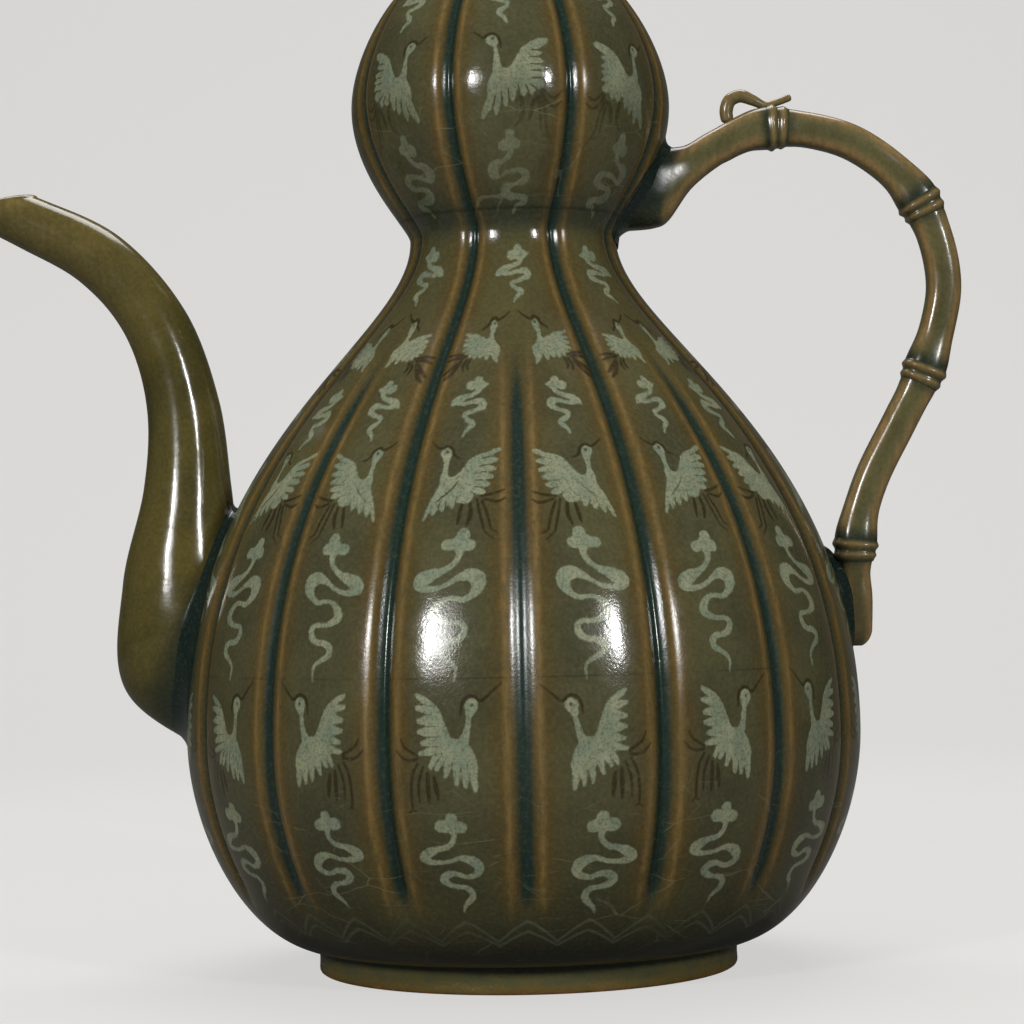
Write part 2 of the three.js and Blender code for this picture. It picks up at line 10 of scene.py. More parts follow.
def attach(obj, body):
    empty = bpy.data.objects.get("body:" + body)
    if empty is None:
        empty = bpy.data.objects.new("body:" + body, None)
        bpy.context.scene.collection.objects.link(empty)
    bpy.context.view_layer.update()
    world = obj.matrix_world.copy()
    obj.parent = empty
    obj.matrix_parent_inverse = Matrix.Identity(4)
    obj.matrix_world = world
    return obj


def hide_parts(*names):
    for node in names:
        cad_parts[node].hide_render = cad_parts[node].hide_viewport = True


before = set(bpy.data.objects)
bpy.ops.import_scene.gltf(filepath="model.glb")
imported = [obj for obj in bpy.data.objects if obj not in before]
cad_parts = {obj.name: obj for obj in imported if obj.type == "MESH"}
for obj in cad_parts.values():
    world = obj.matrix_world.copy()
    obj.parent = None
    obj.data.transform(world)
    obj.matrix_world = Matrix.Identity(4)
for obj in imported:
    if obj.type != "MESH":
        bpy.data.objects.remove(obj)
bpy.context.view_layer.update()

MM = 0.001
rng = np.random.default_rng(seed=11)

# Sizes of the gourd, in mm

# Four cubic curves from the foot up to the neck, each with its four corners (radius, height).
PROFILE = [
    [(60.5, 7.5), (79.7, 8.1), (97.0, 39.5), (97.0, 68.0)],
    [(97.0, 68.0), (97.0, 154.0), (29.8, 182.0), (29.8, 210.0)],
    [(29.8, 210.0), (29.8, 213.7), (46.0, 228.8), (46.0, 248.0)],
    [(46.0, 248.0), (46.0, 265.2), (30.0, 290.0), (16.0, 291.5)],
]
BELLY_RADIUS = 97.0
WALL = 6.0
SEAM = 212.0
FOOT_RADIUS = 60.5
FOOT_HEIGHT = 7.5
FOOT_INSIDE = 54.0
BASE_RECESS = 2.2
BASE_EDGE = FOOT_INSIDE - 0.4
FLOOR_TOP = 8.5
FLOOR_TURN = 14.0

# The angle from one long groove to the next, with a short one halfway between them.
PITCH = math.pi / 4
GROOVE_DEPTH = 3.0
GROOVE_HALF_WIDTH = 2.3
SLOPE_DEPTH = 0.95
SLOPE_HALF_WIDTH = 6.6
SHORT_GROOVE_SHARE = 0.5
# How much of a groove's size goes where the gourd is slimmest.
NARROWING = 0.4
# Heights between which all grooves begin, the short ones end and the long ones end.
GROOVE_FOOT = (20.0, 34.0)
SHORT_GROOVE_END = (150.0, 187.0)
LONG_GROOVE_END = (280.0, 291.5)

# Sizes of the neck and the lid, in mm

SHOULDER_RADIUS = 16.0
SHOULDER_HEIGHT = 291.5
NECK_BORE = 9.5
NECK_RADIUS = 12.5
LIP_RADIUS = 14.5
LIP_ROUNDING = 1.4
BORE_ROUNDING = 0.9
MOUTH_HEIGHT = 311.0
LID_BASE = 311.3
LID_RADIUS = 18.0
LID_RIM = 16.4
LID_RIM_HEIGHT = 3.2
DOME_TOP = 328.5
DOME_GROOVE = 1.1
LID_HOLLOW = 4.5
PLUG_RADIUS = 9.0
PLUG_BORE = 6.6
PLUG_DEPTH = 7.0
# The stem's line (x, height over the dome), and its radii at even steps.
STEM_LINE = [(0, -0.4), (-0.6, 6), (-2.6, 12), (-6, 16.5)]
STEM_RADII = [3.6, 2.3, 2.9]
LOOP_RADIUS = 3.1
LOOP_RISE = 1.5
LOOP_STRIP = 1.2

# Sizes of the spout, in mm

# The two sides of the spout in the plane y = 0, as (x, z) from its mouth down.
SPOUT_OUTER_BEND = [
    (-157, 232.5), (-136.3, 224.9), (-113.9, 213.5), (-95.6, 191.9), (-86.3, 165.6), (-83.3, 140.9),
    (-82.3, 131.5), (-80, 124), (-72, 120),
]
SPOUT_INNER_BEND = [
    (-163, 221.5), (-143, 211), (-125.8, 200.7), (-113.1, 185.1), (-107.2, 163.8), (-108.6, 140),
    (-115.2, 112.6), (-115, 82), (-86, 60),
]
SPOUT_HALF_BREADTH = [8.1, 8.1, 8.7, 9.4, 10.5, 12.4, 15.5, 18, 19]
SPOUT_WALL = 3.4
SPOUT_SUNK = 1.5
RIM_ROUNDING = 1.3
# Two points of the slanted cut that makes the spout's mouth.
MOUTH_BACK = (-141.5, 224.6)
MOUTH_TIP = (-161.4, 220.4)

# Collars: how far they reach up the tube and spread over the gourd, how deep their edges lie
# in the surfaces, and how near to the joint their curve is drawn, as a share.
SPOUT_COLLAR = (5.4, 5.8)
ROOT_COLLAR = (3.6, 4.0)
COLLAR_SUNK = 0.12
COLLAR_TIGHTNESS = 0.72

# Sizes of the handle, in mm

# The handle's middle line in the plane y = 0, and the numbers of its points with rings.
HANDLE_LINE = [
    (57, 234.4), (69.3, 240.1), (77.2, 241), (88.7, 239.6), (99.8, 235.7), (112.3, 226.2),
    (118.8, 217.1), (123, 205.8), (124.5, 194.4), (123, 184.6), (117.7, 168.4), (110.9, 155.2),
    (102.6, 139.3), (98.6, 127.6), (97.2, 118.1), (97.3, 106), (97.2, 90.4),
]
NODE_PLACES = [2, 6, 10, 14]
CULM_HALF = 5.0
CULM_FLARE = 1.1
CULM_FLARE_LENGTH = 6.5
CULM_START = 0.3
CULM_START_LENGTH = 3.0
CULM_WAIST = 0.7
CULM_WAIST_PLACE = 4.0
CULM_WAIST_LENGTH = 5.0
CULM_SUNK = 1.2
CULM_OVERLAP = 0.2
CULM_RING_SPACING = 0.6
CULM_RINGS = 90
NODE_LENGTH = 6.0
NODE_RISE = 0.6
NODE_RING_SPACING = 3.0
NODE_RING_WIDTH = 0.95
END_HALF = 4.2
END_ROUNDING = 5.0
SQUARENESS = 2.8
# Where the handle leaves the upper bulb: its upper and lower side, and half its breadth.
ROOT_TOP = [(30, 234), (41, 235.5), (46.7, 235.8), (51, 236.6)]
ROOT_BOTTOM = [(30, 212), (41.2, 212.8), (45, 214.6), (52.2, 224.1)]
ROOT_HALF_BREADTH = [8.5, 7.6, 6.6, 5.4]
LOWER_COLLAR = (88.0, 119.5)
LOWER_COLLAR_REACH = 4.4
TENDRIL_LINE = [
    (63, 242.6), (62.6, 246.3), (63.7, 249.2), (66.7, 250.45), (70, 249.3), (73.9, 247.6),
    (77.7, 248.5), (81.5, 249.9),
]
TENDRIL_RADII = [1.8, 1.95, 1.95, 1.85, 1.5, 1.05, 1.0, 1.05]

# Curves

CURVE_STEPS = 1600
OUTLINE_STEPS = 400


def smooth(value, low, high):
    """A smooth step t*t*(3-2t) from 0 at low to 1 at high."""
    t = np.clip((np.asarray(value, float) - low) / (high - low), 0, 1)
    return t * t * (3 - 2 * t)


def bell(gap, width):
    """The bell curve exp(-(gap/width)^2)."""
    return np.exp(-((gap / width) ** 2))


def around(sides):
    """Even angles round a full turn."""
    return np.linspace(0, 2 * math.pi, sides, endpoint=False)


def bezier(corners, shares):
    """A Bezier curve: the sum of binomial(n,k) (1-t)^(n-k) t^k times corner k, at shares t."""
    t = np.asarray(shares, float)[..., None]
    last = len(corners) - 1
    return sum(
        math.comb(last, k) * (1 - t) ** (last - k) * t**k * np.asarray(corner, float)
        for k, corner in enumerate(corners)
    )


def spline(points, shares):
    """A centripetal Catmull-Rom curve through points, read at shares of its point numbers.

    Between two points it is the cubic with their tangents, each weighted by the square
    roots of the distances; beyond the ends the points are mirrored.
    """
    points = np.asarray(points, float)
    chain = np.vstack([2 * points[0] - points[1], points, 2 * points[-1] - points[-2]])
    place = np.clip(np.asarray(shares, float), 0, 1) * (len(points) - 1)
    i = np.minimum(place.astype(int), len(points) - 2)
    w = (place - i)[..., None]
    a, b, c, d = chain[i], chain[i + 1], chain[i + 2], chain[i + 3]

    def gap(p, q):
        return np.sqrt(np.linalg.norm(q - p, axis=-1, keepdims=True))

    ab, bc, cd = gap(a, b), gap(b, c), gap(c, d)
    start = ((b - a) / ab - (c - a) / (ab + bc) + (c - b) / bc) * bc
    end = ((c - b) / bc - (d - b) / (bc + cd) + (d - c) / cd) * bc
    square = -3 * b + 3 * c - 2 * start - end
    cube = 2 * b - 2 * c + start + end
    return b + start * w + square * w**2 + cube * w**3


def even_spline(points, shares):
    """The same curve read at shares of its length."""
    dense = spline(points, np.linspace(0, 1, CURVE_STEPS + 1))
    steps = np.linalg.norm(np.diff(dense, axis=0), axis=1)
    length = np.concatenate([[0], np.cumsum(steps)])
    numbers = np.arange(CURVE_STEPS + 1) / CURVE_STEPS
    return spline(points, np.interp(np.asarray(shares) * length[-1], length, numbers))


def length_of(points, share=1.0):
    """The length of the curve up to a share of its point numbers."""
    dense = spline(points, np.linspace(0, share, CURVE_STEPS + 1))
    return float(np.linalg.norm(np.diff(dense, axis=0), axis=1).sum())


def normals_of(tangent):
    """Unit tangents of a line of the plane y = 0, turned by a right angle in that plane."""
    tangent = tangent / np.linalg.norm(tangent, axis=-1, keepdims=True)
    return np.stack([-tangent[:, 1], tangent[:, 0]], axis=-1)


# The gourd's surface

outline = np.vstack([
    bezier(part, np.linspace(0, 1, OUTLINE_STEPS)[(k > 0) :]) for k, part in enumerate(PROFILE)
])
outline_arc = np.concatenate([[0], np.cumsum(np.linalg.norm(np.diff(outline, axis=0), axis=1))])


def radius_at(z):
    """The smooth gourd's radius at a height."""
    return np.interp(z, outline[:, 1], outline[:, 0])


def arc_at(z):
    """The length of the outline from the foot up to a height."""
    return np.interp(z, outline[:, 1], outline_arc)


def groove_scale(radius):
    """The size of a groove, 1 on the belly and less in proportion where the gourd is slim."""
    return 1 - NARROWING + NARROWING * radius / BELLY_RADIUS


def groove_distances(angle, radius):
    """Distances along the surface to the nearest long groove and the nearest short one."""
    to_long = np.abs(np.mod(angle, PITCH) - PITCH / 2)
    to_short = np.abs(np.mod(angle + PITCH / 2, PITCH) - PITCH / 2)
    return to_long * radius, to_short * radius


def groove_strengths(z):
    """Strengths from 0 to 1 of the long grooves and of the short ones at a height."""
    low = smooth(z, *GROOVE_FOOT)
    return low * (1 - smooth(z, *LONG_GROOVE_END)), low * (1 - smooth(z, *SHORT_GROOVE_END))


def relief(angle, radius, z):
    """Depth under the smooth gourd: a bell-shaped groove between broad, bell-shaped slopes.

    The short grooves have a share of the long ones' depth.
    """
    scale = groove_scale(radius)
    total = 0
    shares = (1.0, SHORT_GROOVE_SHARE)
    for d, strength, share in zip(groove_distances(angle, radius), groove_strengths(z), shares):
        groove = bell(d, GROOVE_HALF_WIDTH * scale)
        slope = bell(d, SLOPE_HALF_WIDTH * scale)
        depth = (GROOVE_DEPTH - SLOPE_DEPTH) * groove + SLOPE_DEPTH * slope
        total = total - strength * share * scale * depth
    return total


def on_gourd(angle, arc):
    """A point of the lobed gourd at an angle about Z and an arc length up its outline."""
    radius = np.interp(arc, outline_arc, outline[:, 0])
    z = np.interp(arc, outline_arc, outline[:, 1])
    far = radius + relief(angle, radius, z)
    return np.stack([far * np.cos(angle), far * np.sin(angle), z + 0 * far], axis=-1)


def clearance(points):
    """How far points lie outside the lobed gourd, measured level from the axis."""
    x, y, z = points[..., 0], points[..., 1], points[..., 2]
    angle = np.arctan2(y, x)
    radius = radius_at(z)
    return np.hypot(x, y) - radius - relief(angle, radius, z)


# Meshes


class Shell:
    """Grids and caps that share their border points, welded into one closed mesh."""

    def __init__(self):
        self.points = []
        self.faces = []
        self.values = {}
        self.normals = []
        self.count = 0

    def _add(self, points, values, normals):
        """Adds points, with zero for a value or a normal that they don't bring."""
        flat = np.asarray(points, float).reshape(-1, 3)
        start = self.count
        self.points.append(flat)
        for name in sorted(set(self.values) | set(values)):
            known = self.values.setdefault(name, [np.zeros(start)] if start else [])
            new = np.broadcast_to(values.get(name, 0.0), np.shape(points)[:-1])
            known.append(new.reshape(-1))
        self.normals.append(np.zeros_like(flat) if normals is None else normals.reshape(-1, 3))
        self.count += len(flat)
        return start

    def grid(self, points, closed=False, values=None, normals=None):
        """Quads between neighbouring rows and columns; closed joins the last column to the first."""
        rows, columns = points.shape[:2]
        start = self._add(points, values or {}, normals)
        index = start + np.arange(rows * columns).reshape(rows, columns)
        if closed:
            index = np.hstack([index, index[:, :1]])
        a, b, c, d = index[:-1, :-1], index[:-1, 1:], index[1:, 1:], index[1:, :-1]
        self.faces.append(np.stack([a, b, c, d], axis=-1).reshape(-1, 4))
        return self

    def cap(self, points):
        """One flat face round a closed row of points."""
        start = self._add(points, {}, None)
        self.faces.append(np.arange(start, start + len(points))[None, :])
        return self

    def _welded(self, back):
        """The faces on welded points, and each corner's number before the welding.

        A quad with one side of no length becomes a triangle, and with more it goes.
        """
        faces, corners = [], []
        for block in self.faces:
            welded = back[block]
            whole = np.ones(len(welded), bool)
            if block.shape[1] == 4:
                same = [welded[:, k] == welded[:, (k + 1) % 4] for k in range(4)]
                whole = ~(same[0] | same[1] | same[2] | same[3])
                for k in np.nonzero(~whole)[0]:
                    keep = [j for j in range(4) if not same[j][k]]
                    if len(keep) == 3:
                        faces.append(welded[k, keep].tolist())
                        corners.append(block[k, keep])
            faces.extend(welded[whole].tolist())
            corners.extend(block[whole])
        return faces, corners

    def build(self, name, crease=50):
        """Welds equal points, turns the faces outwards and makes the object.

        The faces point outwards where the sum of a . (b x c) over their triangles is positive.
        """
        points = np.vstack(self.points)
        _, first, back = np.unique(
            np.round(points, 3), axis=0, return_index=True, return_inverse=True
        )
        faces, corners = self._welded(back.reshape(-1))
        spots = points[first] * MM
        triangles = np.array(
            [(f[0], f[k], f[k + 1]) for f in faces for k in range(1, len(f) - 1)], int
        )
        a, b, c = (spots[triangles[:, k]] for k in range(3))
        volume = np.einsum("ij,ij->i", a, np.cross(b, c)).sum()
        if volume < 0:
            faces = [face[::-1] for face in faces]
            corners = [corner[::-1] for corner in corners]
        mesh = bpy.data.meshes.new(name)
        mesh.from_pydata(spots.tolist(), [], faces)
        for key, parts in self.values.items():
            layer = mesh.attributes.new(key, "FLOAT", "POINT")
            layer.data.foreach_set("value", np.concatenate(parts)[first].astype(np.float32))
        mesh.shade_smooth()
        mesh.set_sharp_from_angle(angle=math.radians(crease))
        normals = np.vstack(self.normals)
        if np.any(normals):
            mesh.normals_split_custom_set(normals[np.concatenate(corners)])
        obj = bpy.data.objects.new(name, mesh)
        bpy.context.scene.collection.objects.link(obj)
        return obj


def finish_piece(obj, nodes, body, material):
    """The piece stands for CAD nodes, rides on their body and takes its slot's finish."""
    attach(obj, body)
    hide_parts(*nodes)
    obj.data.materials.append(material)


def turned(outline_points, sides=180, values=None):
    """A closed outline of (radius, z) turned about Z: (r cos a, r sin a, z)."""
    loop = np.asarray(outline_points, float)
    angle = around(sides)
    r, z = loop[:, :1], loop[:, 1:]
    points = np.stack([r * np.cos(angle), r * np.sin(angle), z + 0 * angle], axis=-1)
    rows = {k: np.asarray(v, float)[:, None] + 0 * angle for k, v in (values or {}).items()}
    shell = Shell()
    shell.grid(
        np.concatenate([points, points[:1]]),
        closed=True,
        values={k: np.concatenate([v, v[:1]]) for k, v in rows.items()},
    )
    return shell


def rounded(corners, radii):
    """An outline whose corners are rounded off: at each a quadratic curve cuts the corner.

    A curve takes its radius of each edge, and at most 0.49 of it.
    """
    corners = np.asarray(corners, float)
    rows = []
    for k, (corner, radius) in enumerate(zip(corners, radii)):
        if radius == 0:
            rows.append(corner[None])
            continue
        ends = [
            corner + (other - corner) * min(radius / np.linalg.norm(other - corner), 0.49)
            for other in (corners[k - 1], corners[(k + 1) % len(corners)])
        ]
        rows.append(bezier([ends[0], corner, ends[1]], np.linspace(0, 1, 5)))
    return np.vstack(rows)


def superellipse(angle, exponent):
    """cos and sin raised to 2/exponent with their signs: 2 is an ellipse, more is squarer."""
    return tuple(
        np.sign(v) * np.abs(v) ** (2 / exponent) for v in (np.cos(angle), np.sin(angle))
    )


def tube_points(stations, shares, angle, exponent, grown=0.0):
    """Points of a tube between two lines of the plane y = 0.

    A station is (x, z) of one line, (x, z) of the other and half the breadth along y. At a
    share the section is centre + half * cos' + breadth * sin', with the superellipse's cos'
    and sin'; shares has a row per ring and a column per side.
    """
    read = spline(stations, shares)
    top, bottom, breadth = read[..., 0:2], read[..., 2:4], read[..., 4]
    centre = (top + bottom) / 2
    half = (top - bottom) / 2
    size = np.linalg.norm(half, axis=-1, keepdims=True)
    half = half * (size + grown) / size
    across, aside = superellipse(angle, exponent)
    x = centre[..., 0] + half[..., 0] * across
    z = centre[..., 1] + half[..., 1] * across
    y = (breadth + grown) * aside
    return np.stack([x, y + 0 * x, z], axis=-1)


def crossing(outside):
    """The share of its rows, for each column, at which a grid last turns from below zero."""
    last_row = outside.shape[0] - 1
    found = np.zeros(outside.shape[1])
    for j, column in enumerate(outside.T):
        flips = np.nonzero((column[:-1] < 0) & (column[1:] >= 0))[0]
        if len(flips):
            k = flips[-1]
            found[j] = (k + column[k] / (column[k] - column[k + 1])) / last_row
    return found


# Inlay: signed distances of the motifs, in mm


def polygon_distance(x, y, corners):
    """Distance to a closed polygon, below zero inside: the nearest edge, the sign by crossings."""
    nearest = np.full(x.shape, 1e9)
    sign = np.ones(x.shape)
    for (ax, ay), (bx, by) in zip(corners, np.roll(corners, 1, axis=0)):
        ex, ey = bx - ax, by - ay
        wx, wy = x - ax, y - ay
        t = np.clip((wx * ex + wy * ey) / (ex * ex + ey * ey + 1e-12), 0, 1)
        nearest = np.minimum(nearest, (wx - ex * t) ** 2 + (wy - ey * t) ** 2)
        above, below, left = y >= ay, y < by, ex * wy > ey * wx
        flip = (above & below & left) | (~above & ~below & ~left)
        sign = np.where(flip, -sign, sign)
    return sign * np.sqrt(nearest)


def stroke_distance(x, y, path):
    """Distance to a stroke (x, y, radius): to the nearest segment, less the radius there."""
    nearest = np.full(x.shape, 1e9)
    for (ax, ay, ar), (bx, by, br) in zip(path[:-1], path[1:]):
        ex, ey = bx - ax, by - ay
        wx, wy = x - ax, y - ay
        t = np.clip((wx * ex + wy * ey) / (ex * ex + ey * ey + 1e-12), 0, 1)
        far = np.hypot(wx - ex * t, wy - ey * t) - (ar + (br - ar) * t)
        nearest = np.minimum(nearest, far)
    return nearest


def softened(path, steps=4):
    """A stroke's path, smoothed with the spline through its points."""
    if len(path) < 3:
        return np.asarray(path, float)
    return spline(path, np.linspace(0, 1, steps * (len(path) - 1) + 1))


# Motifs, in drawing units with y downwards: size of a unit in mm, the point that stands on
# the lobe's middle, the height of that point in mm, outlines and strokes of white slip,
# strokes of black slip, and fine cuts between the feathers. A stroke's points are
# (x, y, radius).
CRANE_HIGH = {
    "unit": 0.0349, "middle": (545, 450), "height": 249.1,
    "outline": [
        (400, 112), (432, 135), (440, 170), (433, 215), (448, 290), (460, 350), (480, 380),
        (505, 388), (530, 380), (550, 350), (580, 290), (620, 220), (680, 170), (740, 140),
        (800, 125), (832, 140), (812, 180), (775, 205), (745, 235), (787, 252), (765, 272),
        (742, 290), (796, 322), (785, 340), (755, 348), (800, 372), (790, 392), (765, 398),
        (808, 440), (785, 452), (768, 455), (798, 500), (790, 530), (765, 538), (738, 540),
        (708, 590), (690, 585), (680, 558), (645, 598), (622, 592), (608, 560), (586, 555),
        (574, 625), (562, 642), (545, 635), (530, 608), (518, 680), (500, 682), (475, 640),
        (440, 748), (424, 745), (405, 688), (375, 720), (335, 780), (312, 768), (320, 715),
        (345, 650), (365, 590), (358, 560), (364, 500), (380, 460), (405, 420), (402, 370),
        (410, 290), (408, 220), (385, 208), (352, 180), (342, 150), (365, 122),
    ],
    "strokes": [],
    "ink": [
        [(250, 85, 4), (290, 115, 7), (330, 140, 9), (350, 118, 9), (388, 102, 9), (425, 115, 9),
         (452, 160, 9), (462, 220, 5)],
        [(398, 145, 10), (399, 146, 10)],
        [(618, 600, 10), (634, 680, 15), (626, 760, 12), (580, 822, 8)],
        [(722, 620, 12), (700, 700, 16), (690, 765, 8)],
        [(742, 600, 9), (768, 700, 11), (775, 790, 8), (778, 850, 5)],
        [(765, 590, 9), (808, 700, 11), (820, 830, 10), (850, 910, 7), (878, 955, 4)],
        [(850, 905, 7), (790, 890, 4)],
        [(778, 560, 9), (825, 640, 11), (880, 668, 9), (938, 628, 5)],
        [(790, 540, 8), (865, 600, 9), (900, 590, 8), (945, 542, 4)],
    ],
    "cuts": [
        [(745, 235, 5), (690, 236, 2)], [(742, 290, 5), (682, 292, 2)],
        [(755, 348, 5), (690, 350, 2)], [(765, 398, 5), (690, 400, 2)],
        [(768, 455, 5), (700, 458, 2)], [(738, 540, 5), (690, 505, 2)],
        [(680, 558, 5), (650, 510, 2)], [(608, 560, 5), (596, 505, 2)],
        [(530, 608, 5), (520, 540, 2)], [(475, 640, 5), (470, 565, 2)],
        [(405, 688, 5), (425, 600, 2)],
    ],
}
CRANE_SMALL = {
    "unit": 0.0413, "middle": (535, 270), "height": 176.6,
    "outline": [
        (618, 118), (644, 135), (645, 165), (632, 200), (632, 240), (650, 280), (684, 310),
        (688, 345), (678, 385), (686, 425), (670, 424), (650, 400), (636, 380), (622, 362),
        (610, 404), (592, 402), (582, 368), (562, 390), (546, 386), (540, 362), (528, 392),
        (508, 388), (504, 358), (492, 384), (478, 376), (478, 350), (456, 366), (446, 354),
        (470, 333), (430, 336), (430, 318), (466, 304), (428, 298), (430, 280), (466, 270),
        (432, 262), (436, 244), (474, 240), (433, 218), (440, 204), (482, 211), (522, 216),
        (560, 236), (590, 250), (604, 238), (602, 200), (596, 160), (600, 130),
    ],
    "strokes": [],
    "ink": [
        [(712, 60, 3), (680, 95, 6), (642, 116, 8), (622, 100, 8), (602, 112, 8), (586, 150, 8),
         (550, 182, 4)],
        [(624, 140, 6), (625, 141, 6)],
        [(462, 368, 7), (400, 358, 9), (328, 364, 4)],
        [(445, 382, 7), (390, 382, 9), (328, 402, 4)],
        [(432, 400, 7), (385, 440, 11), (318, 492, 6)],
        [(430, 415, 7), (375, 490, 11), (328, 526, 6)],
        [(470, 398, 7), (450, 440, 9), (456, 472, 5)],
        [(492, 396, 7), (480, 442, 8), (490, 462, 4)],
    ],
    "cuts": [],
}
CRANE_RISING = {
    "unit": 0.02156, "middle": (573, 600), "height": 137.6,
    "outline": [
        (790, 130), (850, 160), (862, 212), (832, 262), (808, 320), (803, 400), (816, 470),
        (838, 530), (838, 620), (870, 680), (905, 735), (950, 830), (990, 930), (1026, 1034),
        (1004, 1044), (968, 990), (925, 905), (910, 980), (888, 984), (862, 950), (826, 878),
        (788, 940), (764, 932), (738, 885), (702, 848), (664, 900), (642, 890), (612, 836),
        (560, 830), (515, 844), (480, 838), (440, 832), (400, 772), (378, 738), (276, 738),
        (250, 715), (294, 660), (216, 640), (198, 608), (302, 562), (176, 545), (170, 512),
        (272, 462), (150, 446), (144, 412), (252, 370), (135, 326), (132, 294), (242, 266),
        (112, 192), (108, 164), (150, 150), (200, 170), (262, 205), (370, 235), (450, 270),
        (502, 315), (522, 350), (560, 410), (602, 470), (650, 506), (692, 520), (732, 502),
        (746, 450), (750, 400), (744, 330), (730, 280), (720, 230), (724, 180), (752, 142),
    ],
    "strokes": [],
    "ink": [
        [(592, 282, 6), (650, 264, 12), (690, 222, 14), (706, 170, 14), (742, 134, 14),
         (792, 118, 14), (850, 148, 14), (920, 118, 11), (990, 55, 7)],
        [(780, 190, 17), (781, 191, 17)],
        [(300, 760, 12), (160, 735, 15), (20, 690, 8)],
        [(260, 795, 12), (90, 830, 15), (8, 788, 8)],
        [(290, 818, 12), (220, 960, 16), (150, 1160, 9)],
        [(352, 800, 12), (300, 980, 15), (230, 1180, 9)],
        [(232, 1180, 9), (110, 1270, 6)],
        [(150, 1160, 9), (70, 1192, 6)],
        [(430, 850, 16), (418, 980, 25), (456, 1100, 12)],
        [(530, 860, 14), (550, 960, 22), (572, 1085, 11)],
    ],
    "cuts": [
        [(242, 266, 9), (350, 300, 3)], [(252, 370, 9), (370, 392, 3)],
        [(272, 462, 9), (390, 476, 3)], [(302, 562, 9), (410, 560, 3)],
        [(294, 660, 9), (400, 640, 3)], [(378, 738, 9), (450, 690, 3)],
        [(600, 560, 3), (640, 625, 8), (700, 690, 9), (790, 762, 8), (870, 830, 3)],
        [(738, 885, 8), (724, 800, 3)], [(612, 836, 8), (600, 750, 3)],
        [(826, 878, 8), (800, 810, 3)],
    ],
}
CRANE_LOW = {
    "unit": 0.0407, "middle": (355, 370), "height": 70.5,
    "outline": [
        (205, 95), (238, 108), (252, 140), (246, 185), (240, 215), (252, 270), (265, 315),
        (290, 345), (335, 342), (360, 290), (400, 185), (430, 140), (465, 108), (515, 78),
        (562, 60), (570, 76), (545, 108), (500, 136), (570, 138), (566, 164), (486, 196),
        (560, 224), (555, 248), (480, 266), (558, 290), (552, 316), (475, 336), (540, 364),
        (532, 388), (462, 392), (552, 428), (545, 450), (455, 448), (490, 520), (470, 540),
        (425, 480), (447, 540), (425, 548), (385, 496), (390, 588), (368, 592), (335, 516),
        (320, 638), (298, 642), (280, 545), (264, 652), (243, 656), (230, 580), (202, 678),
        (180, 674), (174, 620), (177, 560), (172, 510), (180, 470), (200, 420), (228, 380),
        (222, 330), (212, 270), (208, 215), (190, 190), (165, 160), (165, 120), (180, 100),
    ],
    "strokes": [],
    "ink": [
        [(20, 0, 3), (80, 55, 6), (140, 110, 8), (160, 112, 8), (182, 88, 8), (216, 80, 8),
         (256, 105, 8), (271, 150, 8), (273, 205, 4)],
        [(203, 138, 9), (204, 139, 9)],
        [(552, 452, 7), (600, 425, 8), (640, 400, 7), (668, 348, 4)],
        [(556, 470, 7), (600, 480, 8), (650, 468, 7), (700, 418, 4)],
        [(452, 580, 8), (440, 650, 15), (430, 722, 7)],
        [(492, 556, 8), (492, 650, 14), (488, 745, 7)],
        [(520, 520, 7), (552, 620, 8), (552, 742, 5)],
        [(556, 500, 7), (590, 562, 8), (605, 680, 8), (600, 792, 6)],
        [(600, 790, 6), (574, 802, 3)],
        [(600, 790, 6), (628, 812, 3)],
    ],
    "cuts": [
        [(500, 136, 5), (440, 150, 2)], [(486, 196, 5), (420, 206, 2)],
        [(480, 266, 5), (404, 266, 2)], [(475, 336, 5), (398, 334, 2)],
        [(462, 392, 5), (390, 386, 2)], [(455, 448, 5), (392, 430, 2)],
        [(425, 480, 5), (392, 440, 2)], [(385, 496, 5), (362, 440, 2)],
        [(335, 516, 5), (326, 450, 2)], [(280, 545, 5), (280, 470, 2)],
        [(230, 580, 5), (238, 500, 2)],
    ],
}
CLOUD_HIGH = {
    "unit": 0.0352, "middle": (550, 1200), "height": 224.1, "outline": [],
    "strokes": [
        [(540, 915, 36), (541, 935, 38)], [(482, 1000, 40), (500, 990, 40)],
        [(588, 985, 34), (570, 985, 38)],
        [(545, 960, 40), (545, 1030, 24), (525, 1075, 20), (480, 1105, 18), (425, 1122, 32),
         (392, 1165, 44), (402, 1205, 36), (440, 1225, 14), (500, 1195, 18), (580, 1180, 20),
         (636, 1188, 28), (660, 1222, 34), (628, 1265, 26), (560, 1280, 16), (500, 1292, 24),
         (482, 1332, 36), (520, 1370, 36), (590, 1378, 24), (640, 1396, 30), (628, 1425, 24),
         (588, 1442, 18), (555, 1475, 14), (545, 1505, 9)],
    ],
    "ink": [], "cuts": [],
}
CLOUD_SMALL = {
    "unit": 0.0413, "middle": (485, 690), "height": 158.4, "outline": [],
    "strokes": [
        [(530, 515, 28), (531, 520, 28)], [(485, 550, 32), (490, 552, 32)],
        [(560, 550, 32), (594, 546, 8)],
        [(530, 545, 34), (542, 585, 18), (515, 612, 15), (455, 630, 20), (405, 655, 26),
         (372, 682, 8)],
        [(405, 662, 22), (450, 676, 14), (515, 664, 15), (568, 664, 24), (582, 695, 24),
         (525, 728, 14), (472, 745, 16), (482, 776, 15), (520, 800, 20), (530, 818, 18),
         (495, 850, 14), (475, 886, 8)],
    ],
    "ink": [], "cuts": [],
}
